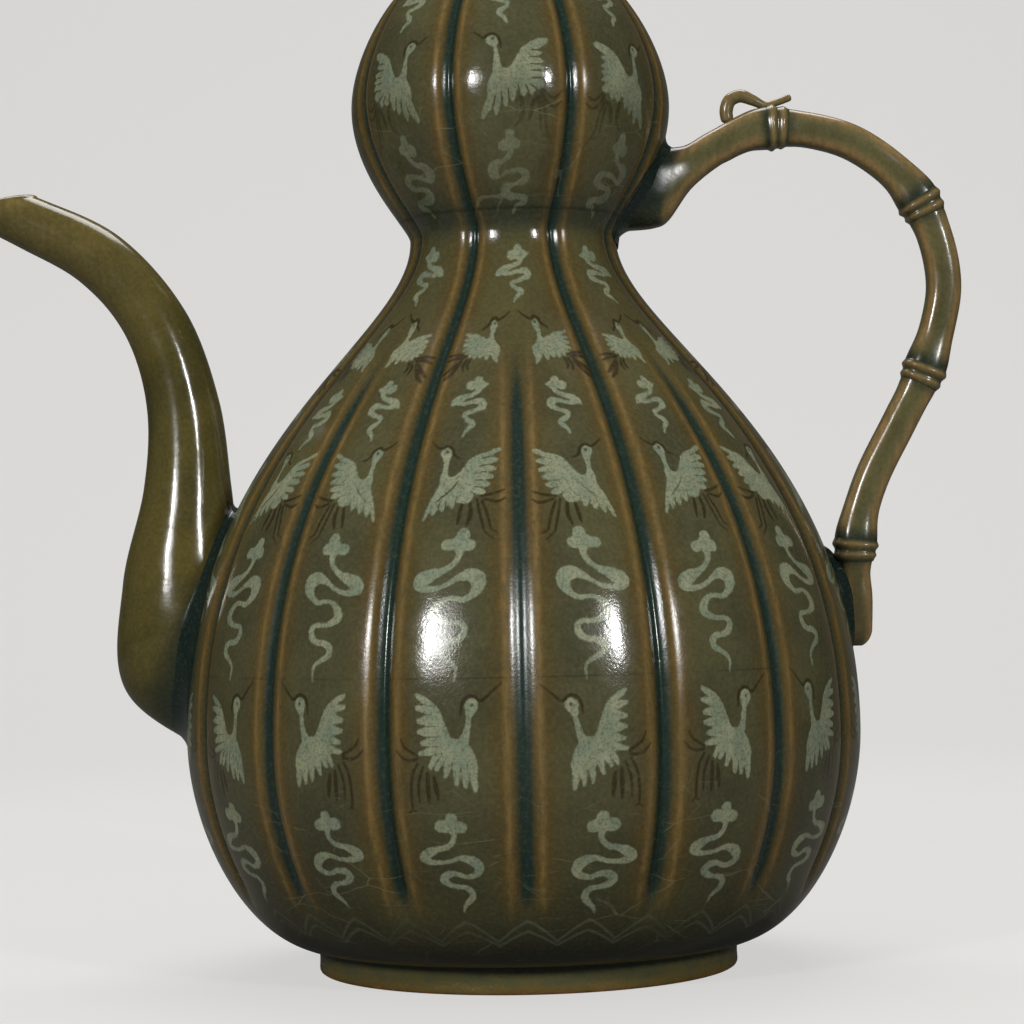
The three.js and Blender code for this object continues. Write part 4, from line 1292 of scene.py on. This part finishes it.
def fillet(name, stations, angle, exponent, reach, spread):
    """A concave collar where a tube meets the gourd.

    Side by side it runs from a point up the tube, in a quadratic curve drawn towards the
    joint, out to a point of the gourd; three more rows under the surfaces close it.
    """
    points = tube_points(stations, finely + 0 * angle, angle, exponent)
    at = crossing(clearance(points))
    joint, further = (
        tube_points(stations, (at + ahead)[None, :], angle, exponent)[0] for ahead in (0.0, 0.01)
    )
    length = np.linalg.norm(further - joint, axis=-1) / 0.01
    wave = 1 + 0.12 * np.sin(3 * angle + 1) + 0.07 * np.sin(7 * angle)
    top = tube_points(stations, (at + reach * wave / length)[None, :], angle, exponent)[0]
    middle = joint.mean(axis=0)
    outward = joint - middle
    turn = np.arctan2(middle[1], middle[0])
    level = np.array([math.cos(turn), math.sin(turn), 0])
    outward -= (outward @ level)[:, None] * level
    outward /= np.linalg.norm(outward, axis=-1, keepdims=True)
    edge = joint + outward * spread * wave[:, None]
    edge_angle = np.arctan2(edge[:, 1], edge[:, 0])
    from_axis = np.stack([np.cos(edge_angle), np.sin(edge_angle), 0 * edge_angle], axis=-1)
    low = edge - from_axis * (clearance(edge) + COLLAR_SUNK)[:, None]
    corner = joint * COLLAR_TIGHTNESS + (top + low) / 2 * (1 - COLLAR_TIGHTNESS)
    start = sunk_in(top, middle, COLLAR_SUNK)
    rows = bezier([start, corner, low], np.linspace(0, 1, 17)[:, None] + 0 * angle)
    under = [
        sunk_in(low, middle * 0.9, 1.5), sunk_in(joint, middle, 1.6), sunk_in(top, middle, 1.6)]
    loop = np.concatenate([rows, np.stack(under), rows[:1]])
    gold = np.zeros(loop.shape[:2])
    gold[:2] = 0.4
    return Shell().grid(loop, closed=True, values={"pool": 0.8, "gold": gold}).build(name, crease=75)


finish_piece(spout_tube(), ["spout"], "vessel", spout_glaze)
spout_collar = fillet("spout_collar", spout_stations, spout_angle, 2, *SPOUT_COLLAR)
finish_piece(spout_collar, ["spout_luting"], "vessel", pooled_glaze)

# The handle

line_length = length_of(HANDLE_LINE)
node_lengths = [length_of(HANDLE_LINE, place / (len(HANDLE_LINE) - 1)) for place in NODE_PLACES]
culm_starts = [0.0] + [length + NODE_LENGTH / 2 - CULM_OVERLAP for length in node_lengths]
culm_ends = [length - NODE_LENGTH / 2 + CULM_OVERLAP for length in node_lengths] + [line_length]
culm_angle = around(56)


def handle_frame(distance):
    """Centres and normals of the handle's line at distances along it."""
    share = np.asarray(distance, float) / line_length
    step = 0.25 / line_length
    ahead = even_spline(HANDLE_LINE, np.clip(share + step, 0, 1))
    behind = even_spline(HANDLE_LINE, np.clip(share - step, 0, 1))
    return even_spline(HANDLE_LINE, share), normals_of(ahead - behind)


def handle_rings(distance, half):
    """Rounded-square rings of the handle: centre + half * (cos' normal + sin' y)."""
    centre, normal = handle_frame(distance)
    across, aside = superellipse(culm_angle, SQUARENESS)
    half = half[:, None]
    x = centre[:, :1] + normal[:, :1] * half * across
    z = centre[:, 1:] + normal[:, 1:] * half * across
    return np.stack([x, half * aside + 0 * x, z], axis=-1)


def capped(rings):
    """The rings with their middle points before and after them, to close the ends."""
    first = np.broadcast_to(rings[0].mean(axis=0), rings[0].shape)
    last = np.broadcast_to(rings[-1].mean(axis=0), rings[-1].shape)
    return np.concatenate([first[None], rings, last[None]])


def rod(name, rings, gold, pool):
    """Capped rings made a piece of the handle, each cap with the values of its ring."""
    values = {
        key: np.concatenate([value[:1], value, value[-1:]])
        for key, value in (("gold", gold), ("pool", pool))
    }
    return Shell().grid(capped(rings), closed=True, values=values).build(name, crease=60)


def bamboo(name, rings, near, more_gold=0.0):
    """A length of bamboo; near is one where its glaze pools.

    The glaze is golden along the four rounded edges, by sin^2 of twice the angle.
    """
    edge = np.abs(np.sin(2 * culm_angle)) ** 2
    gold = (0.05 + 0.85 * edge) * (1 - 0.5 * near[:, None]) + more_gold
    return rod(name, rings, gold, near[:, None] * 0.75 + 0 * gold)


def ring_places(start, end):
    """Even distances along the handle, about CULM_RING_SPACING apart."""
    count = math.ceil((end - start) / CULM_RING_SPACING)
    return np.arange(start, end + 0.01, (end - start) / count)


def root_tube():
    """Stations of the first culm: its root on the upper bulb, then every sixth ring."""
    distance = ring_places(0.0, culm_ends[0])
    half = CULM_HALF + CULM_FLARE * bell(culm_ends[0] - distance, CULM_FLARE_LENGTH)
    centre, normal = handle_frame(distance)
    top, bottom = centre + normal * half[:, None], centre - normal * half[:, None]
    root = np.hstack([ROOT_TOP, ROOT_BOTTOM, np.array(ROOT_HALF_BREADTH)[:, None]])
    return np.vstack([root, np.hstack([top, bottom, half[:, None]])[::-6][::-1]])


def first_culm(stations):
    """The culm that grows out of the upper bulb, each side of it from its own share on."""
    along = np.linspace(0, 1, CULM_RINGS)
    begin = trimmed(0, stations, culm_angle, SQUARENESS, CULM_SUNK)
    share = begin + (1 - begin) * along[:, None]
    flare = bell((1 - along) * 50, CULM_FLARE_LENGTH)
    near = np.maximum(flare**2, 1.3 * smooth(along, 0.26, 0.06))
    return bamboo("culm_1", tube_points(stations, share, culm_angle, SQUARENESS), near)


def middle_culm(number, start, end):
    """A culm whose rings flare, as bell curves, towards the nodes at its ends."""
    distance = ring_places(start, end)
    flare = bell(end - distance, CULM_FLARE_LENGTH)
    begun = bell(distance - start, CULM_START_LENGTH)
    half = CULM_HALF + CULM_FLARE * flare + CULM_START * begun
    near = np.maximum(flare**2, 0.7 * begun)
    return bamboo(f"culm_{number}", handle_rings(distance, half), near)


def last_share(distance, start, end):
    """The last culm narrows evenly; its end is rounded as sqrt(1 - 0.9 (1 - left)^2)."""
    left = np.clip((end - distance) / END_ROUNDING, 0, 1)
    narrowing = 1 - (1 - END_HALF / CULM_HALF) * (distance - start) / (end - start)
    return narrowing * np.sqrt(1 - 0.9 * (1 - left) ** 2)


def last_culm(start, end):
    """The culm that lies on the belly, with a slight waist, and rings that crowd at its end."""
    distance = start + (end - start) * (1 - (1 - np.linspace(0, 1, CULM_RINGS)) ** 1.5)
    begun = bell(distance - start, CULM_START_LENGTH)
    half = CULM_HALF + CULM_START * begun
    half = half - CULM_WAIST * bell(distance - start - CULM_WAIST_PLACE, CULM_WAIST_LENGTH)
    rings = handle_rings(distance, half * last_share(distance, start, end))
    return bamboo("culm_5", rings, 0.7 * begun, more_gold=0.12)


def double_ring(number, middle):
    """The two rings between culms: bell curves on a stretch that joins the culms' sizes."""
    offset = np.linspace(-NODE_LENGTH / 2 - 0.4, NODE_LENGTH / 2 + 0.4, 57)
    rise = sum(bell(offset - side * NODE_RING_SPACING, NODE_RING_WIDTH) for side in (-0.5, 0.5))
    ends = smooth(np.abs(offset), NODE_LENGTH / 2 + 0.4, NODE_LENGTH / 2 - 0.3)
    step = smooth(offset, -NODE_LENGTH / 2, NODE_LENGTH / 2)
    half = CULM_HALF + CULM_FLARE + (CULM_START - CULM_FLARE) * step
    half = half + NODE_RISE * rise + 0.2 * ends - 0.15
    gold = rise[:, None] * 0.7 + 0 * culm_angle
    pool = (1 - rise)[:, None] * 0.7 + 0 * culm_angle
    return rod(f"node_{number}", handle_rings(middle + offset, half), gold, pool)


root_stations = root_tube()
culms = [first_culm(root_stations)]
for number in (2, 3, 4):
    culms.append(middle_culm(number, culm_starts[number - 1], culm_ends[number - 1]))
culms.append(last_culm(culm_starts[-1], culm_ends[-1]))
for number, piece in enumerate(culms, start=1):
    finish_piece(piece, [f"handle_culm_{number}"], "vessel", handle_glaze)
for number, middle in enumerate(node_lengths, start=1):
    piece = double_ring(number, middle)
    finish_piece(piece, [f"handle_node_{number}"], "vessel", handle_glaze)


def lower_collar(low, high, size):
    """A concave strip on each side of the last culm, down to the gourd.

    At each height its section is a quadratic curve from the culm's side, drawn towards the
    corner between culm and gourd, out to the gourd, closed through the inside; the
    section's size is (1 + 0.45 t) sqrt(1 - t^2), so it is widest above its middle.
    """
    t = np.linspace(-1, 1, 61)
    z = (low + high) / 2 + t * (high - low) / 2
    reach = size * (1 + 0.45 * t) * np.sqrt(1 - 0.97 * t**2)
    start = culm_starts[-1]
    distance = np.linspace(start, line_length, 200)
    centre, _ = handle_frame(distance)
    half_along = CULM_HALF * last_share(distance, start, line_length)
    middle = np.interp(z, centre[::-1, 1], centre[::-1, 0])
    half = np.maximum(np.interp(z, centre[::-1, 1], half_along[::-1]), 2.5)

    def gourd_x(y):
        a = np.arcsin(y / radius_at(z))
        return (radius_at(z) + relief(a, radius_at(z), z)) * np.cos(a)

    def spot(x, y):
        return np.stack([x, y, z], axis=-1)

    shell = Shell()
    for side in (1, -1):
        joint = gourd_x(half)
        up = np.minimum(joint + 0.8 * reach, middle + 0.8 * half)
        width = half * (1 - np.abs((up - middle) / half).clip(0, 0.99) ** 3) ** (1 / 3)
        top = spot(up, width - COLLAR_SUNK)
        out = spot(gourd_x(half + reach) - COLLAR_SUNK, half + reach)
        corner = spot(joint, half) * COLLAR_TIGHTNESS + (top + out) / 2 * (1 - COLLAR_TIGHTNESS)
        rows = bezier([top, corner, out], np.linspace(0, 1, 15)[:, None] + 0 * z)
        under = [spot(gourd_x(half + reach) - 1.4, half + reach * 0.8), spot(joint - 1.6, half - 1.4),
                 spot(up, width - 1.4)]
        loop = np.concatenate([rows, np.stack(under)]) * np.array([1, side, 1])
        rings = capped(loop.transpose(1, 0, 2)[:, ::side])
        shell.grid(rings, closed=True, values={"pool": 0.8, "gold": 0.0})
    return shell.build("handle_foot_collar", crease=75)


def round_tube(name, line, radii, steps, sides=28):
    """A round tube along a line of the plane y = 0, with domed ends.

    Ring k is centre + radius * (cos a * normal + sin a * y); near an end the radius falls
    off as a quarter circle.
    """
    share = np.linspace(0, 1, steps)
    centre = even_spline(line, share)
    normal = normals_of(np.gradient(centre, axis=0))
    radius = np.interp(share, np.linspace(0, 1, len(radii)), radii)
    end = np.minimum(share, 1 - share) * length_of(line) / (radius * 0.8)
    radius = radius * np.sqrt(np.clip(1 - (1 - np.clip(end, 0, 1)) ** 2, 0.003, 1))
    angle = around(sides)
    x = centre[:, :1] + normal[:, :1] * radius[:, None] * np.cos(angle)
    z = centre[:, 1:] + normal[:, 1:] * radius[:, None] * np.cos(angle)
    rings = np.stack([x, radius[:, None] * np.sin(angle) + 0 * x, z], axis=-1)
    gold = 0.45 + 0.3 * np.cos(angle)[None, :] + np.zeros((steps + 2, 1))
    return Shell().grid(capped(rings), closed=True, values={"gold": gold}).build(name, crease=70)


handle_collar = fillet("handle_collar", root_stations, culm_angle, SQUARENESS, *ROOT_COLLAR)
finish_piece(handle_collar, ["handle_upper_luting"], "vessel", pooled_glaze)
foot_collar = lower_collar(*LOWER_COLLAR, LOWER_COLLAR_REACH)
finish_piece(foot_collar, ["handle_lower_luting"], "vessel", pooled_glaze)
tendril = round_tube("tendril", TENDRIL_LINE, TENDRIL_RADII, 160)
finish_piece(tendril, ["tendril_loop"], "vessel", handle_glaze)

# The lid

dome = [(LID_RADIUS - 1.6, LID_BASE + LID_RIM_HEIGHT), (LID_RADIUS + 0.5, LID_BASE + 10.9),
        (0.6 * LID_RADIUS, DOME_TOP - 0.5), (2.6, DOME_TOP)]


def lid_cap():
    """The lid: rolled rim and a dome with eight shallow grooves, hollow over the mouth.

    The outline is turned about Z, less the grooves' depth times a weight, the sine along
    the dome, times the square of 1 - |cos 4a|.
    """
    hollow = [(0, DOME_TOP - 4), (LID_HOLLOW, DOME_TOP - 4), (PLUG_BORE, DOME_TOP - 8),
              (PLUG_BORE, LID_BASE)]
    rim = spline([(LID_RIM, LID_BASE), (17.7, LID_BASE + 0.5), (LID_RADIUS, LID_BASE + 1.5),
                  (17.4, LID_BASE + 2.6), (LID_RIM, LID_BASE + LID_RIM_HEIGHT)],
                 np.linspace(0, 1, 17))
    along = np.linspace(0, 1, 61)[1:]
    loop = np.vstack([hollow, [(12, LID_BASE)], rim, bezier(dome, along), [(0, DOME_TOP + 0.1)]])
    before_dome = len(hollow) + 1 + len(rim)
    weight = np.concatenate([np.zeros(before_dome), np.sin(math.pi * along), [0]])[:, None]
    angle = around(192)
    gap = 1 - np.abs(np.cos(4 * angle))
    r = loop[:, :1] - DOME_GROOVE * weight * gap**2
    points = np.stack([r * np.cos(angle), r * np.sin(angle), loop[:, 1:] + 0 * angle], axis=-1)
    gold = np.clip(weight * 1.2, 0, 1) * bell(gap - 0.42, 0.2)
    gold[len(hollow) + 5 : len(hollow) + 14] = 0.6
    values = {"pool": weight * gap**4, "gold": gold}
    return Shell().grid(points, closed=True, values=values).build("cap")


finish_piece(lid_cap(), ["lid_cap"], "lid", plain_glaze)

plug_outline = rounded(
    [(PLUG_BORE, LID_BASE - PLUG_DEPTH), (PLUG_RADIUS, LID_BASE - PLUG_DEPTH),
     (PLUG_RADIUS, LID_BASE), (PLUG_BORE, LID_BASE)], [0.4, 0.9, 0.0, 0.0])
finish_piece(turned(plug_outline, 96).build("plug"), ["lid_plug"], "lid", bare_clay)

stem = round_tube("stem", [(x, DOME_TOP + z) for x, z in STEM_LINE], STEM_RADII, 90, sides=36)
finish_piece(stem, ["lid_stem"], "lid", handle_glaze)

loop_at = bezier(dome, [0.5])[0]
loop_line = [
    (loop_at[0] + LOOP_RADIUS * math.cos(a), loop_at[1] + LOOP_RISE + LOOP_RADIUS * math.sin(a))
    for a in np.linspace(-0.4, 0.9, 9) * math.pi
]
loop = round_tube("loop", loop_line, [LOOP_STRIP, LOOP_STRIP], 80, sides=24)
finish_piece(loop, ["lid_loop"], "lid", handle_glaze)

# The studio: a pale sheet that curves up behind the ewer, soft boxes and the camera

FLOOR_FRONT, FLOOR_BACK, BACK_WALL, BACKDROP_TOP = -2500, 900, 1500, 3200
HALF_SHEET = 3200
PAPER = rgb(190, 188, 184)
PALE_PAPER = rgb(246, 245, 243)
DULL_PAPER = rgb(104, 103, 101)
ROOM_SEEN = (0.82, 0.82, 0.81, 1)
ROOM_LIGHT = (0.075, 0.075, 0.077, 1)
TARGET = Vector((0, 0, 0.13))
PICTURE = 1024
FOCAL_LENGTH = 2800
PICTURE_SHIFT = (-8.4, 63)
SENSOR = 36
CAMERA_PLACE = (0, -0.812, 0.113)
CAMERA_ROLL = -1.25


def backdrop():
    """A sheet along x whose outline (y, z) runs level, then up in a quadratic curve.

    The camera sees the paper pale; the ewer mirrors it and is lit by it as dull paper.
    """
    curve = [(FLOOR_BACK, 0), (BACK_WALL, 0), (BACK_WALL, BACK_WALL - FLOOR_BACK)]
    line = np.vstack([
        [(FLOOR_FRONT, 0), (FLOOR_BACK, 0)],
        bezier(curve, np.linspace(0, 1, 24)[1:]),
        [(BACK_WALL, BACKDROP_TOP)],
    ])
    width = np.array([-HALF_SHEET, HALF_SHEET], float)
    level, rise = line[:, :1] + 0 * width, line[:, 1:] + 0 * width
    points = np.stack([width + 0 * level, level, rise], axis=-1)
    index = np.arange(len(line) * 2).reshape(-1, 2)
    quads = np.stack([index[:-1, 0], index[:-1, 1], index[1:, 1], index[1:, 0]], axis=-1)
    mesh = bpy.data.meshes.new("backdrop")
    mesh.from_pydata((points.reshape(-1, 3) * MM).tolist(), [], quads.tolist())
    mesh.shade_smooth()
    obj = bpy.data.objects.new("backdrop", mesh)
    bpy.context.scene.collection.objects.link(obj)
    graph = Graph("backdrop")
    paper = graph.node("ShaderNodeBsdfDiffuse", {"Color": PAPER}).outputs[0]
    pale = graph.node("ShaderNodeEmission", {"Color": PALE_PAPER, "Strength": 1.0}).outputs[0]
    dull = graph.node("ShaderNodeBsdfDiffuse", {"Color": DULL_PAPER}).outputs[0]
    seen = graph.node("ShaderNodeMixShader", {0: 0.62, 1: paper, 2: pale}).outputs[0]
    to_camera = graph.node("ShaderNodeLightPath").outputs["Is Camera Ray"]
    chosen = graph.node("ShaderNodeMixShader", {0: to_camera, 1: dull, 2: seen}).outputs[0]
    graph.node("ShaderNodeOutputMaterial", {"Surface": chosen})
    mesh.materials.append(graph.material)
    return obj


def soft_box(name, azimuth, elevation, distance, size, power, shape="RECTANGLE", mirrored=True):
    """An area light at angles from the front (-Y), turned towards the ewer, sizes in metres.

    A light that isn't mirrored lights the glaze but doesn't show in it.
    """
    turn, rise = math.radians(azimuth), math.radians(elevation)
    level = distance * math.cos(rise)
    light = bpy.data.lights.new(name, "AREA")
    light.shape = shape
    light.size, light.size_y = size
    light.energy = power
    obj = bpy.data.objects.new(name, light)
    obj.location = TARGET + Vector(
        (level * math.sin(turn), -level * math.cos(turn), distance * math.sin(rise)))
    obj.rotation_euler = (obj.location - TARGET).to_track_quat("Z", "Y").to_euler()
    obj.visible_glossy = mirrored
    bpy.context.scene.collection.objects.link(obj)


def room():
    """A plain pale room for the camera, and a dim one for the glaze."""
    world = bpy.data.worlds.new("studio")
    bpy.context.scene.world = world
    world.use_nodes = True
    tree = world.node_tree
    tree.nodes.clear()
    path = tree.nodes.new("ShaderNodeLightPath")
    shown = tree.nodes.new("ShaderNodeBackground")
    shown.inputs["Color"].default_value = ROOM_SEEN
    dim = tree.nodes.new("ShaderNodeBackground")
    dim.inputs["Color"].default_value = ROOM_LIGHT
    pick = tree.nodes.new("ShaderNodeMixShader")
    out = tree.nodes.new("ShaderNodeOutputWorld")
    tree.links.new(path.outputs["Is Camera Ray"], pick.inputs[0])
    tree.links.new(dim.outputs[0], pick.inputs[1])
    tree.links.new(shown.outputs[0], pick.inputs[2])
    tree.links.new(pick.outputs[0], out.inputs["Surface"])


def camera():
    """The camera fitted to the photograph: its picture shift is given in pixels."""
    lens = bpy.data.cameras.new("camera")
    lens.sensor_width = SENSOR
    lens.lens = FOCAL_LENGTH / PICTURE * SENSOR
    lens.shift_x, lens.shift_y = (pixels / PICTURE for pixels in PICTURE_SHIFT)
    obj = bpy.data.objects.new("camera", lens)
    obj.location = CAMERA_PLACE
    obj.rotation_mode = "QUATERNION"
    level = Quaternion((1, 0, 0), math.radians(90))
    obj.rotation_quaternion = level @ Quaternion((0, 0, 1), math.radians(CAMERA_ROLL))
    bpy.context.scene.collection.objects.link(obj)
    bpy.context.scene.camera = obj


backdrop()
soft_box("left_box", -32.5, 18.5, 1.5, (0.055, 0.27), 8.5, "ELLIPSE")
soft_box("left_fill", -27, 18.5, 1.6, (0.2, 0.4), 2.6, "ELLIPSE")
soft_box("right_box", 33.5, 18.5, 1.5, (0.055, 0.27), 8.5, "ELLIPSE")
soft_box("left_side", -88, 20, 1.3, (0.12, 0.8), 0.7, mirrored=False)
soft_box("right_side", 88, 20, 1.3, (0.12, 0.8), 0.7, mirrored=False)
soft_box("top_box", 0, 70, 2.0, (2.0, 2.0), 9, mirrored=False)
soft_box("top_strip", 0, 112, 1.4, (1.1, 0.72), 14)
room()
camera()
bpy.context.scene.view_settings.view_transform = "Standard"
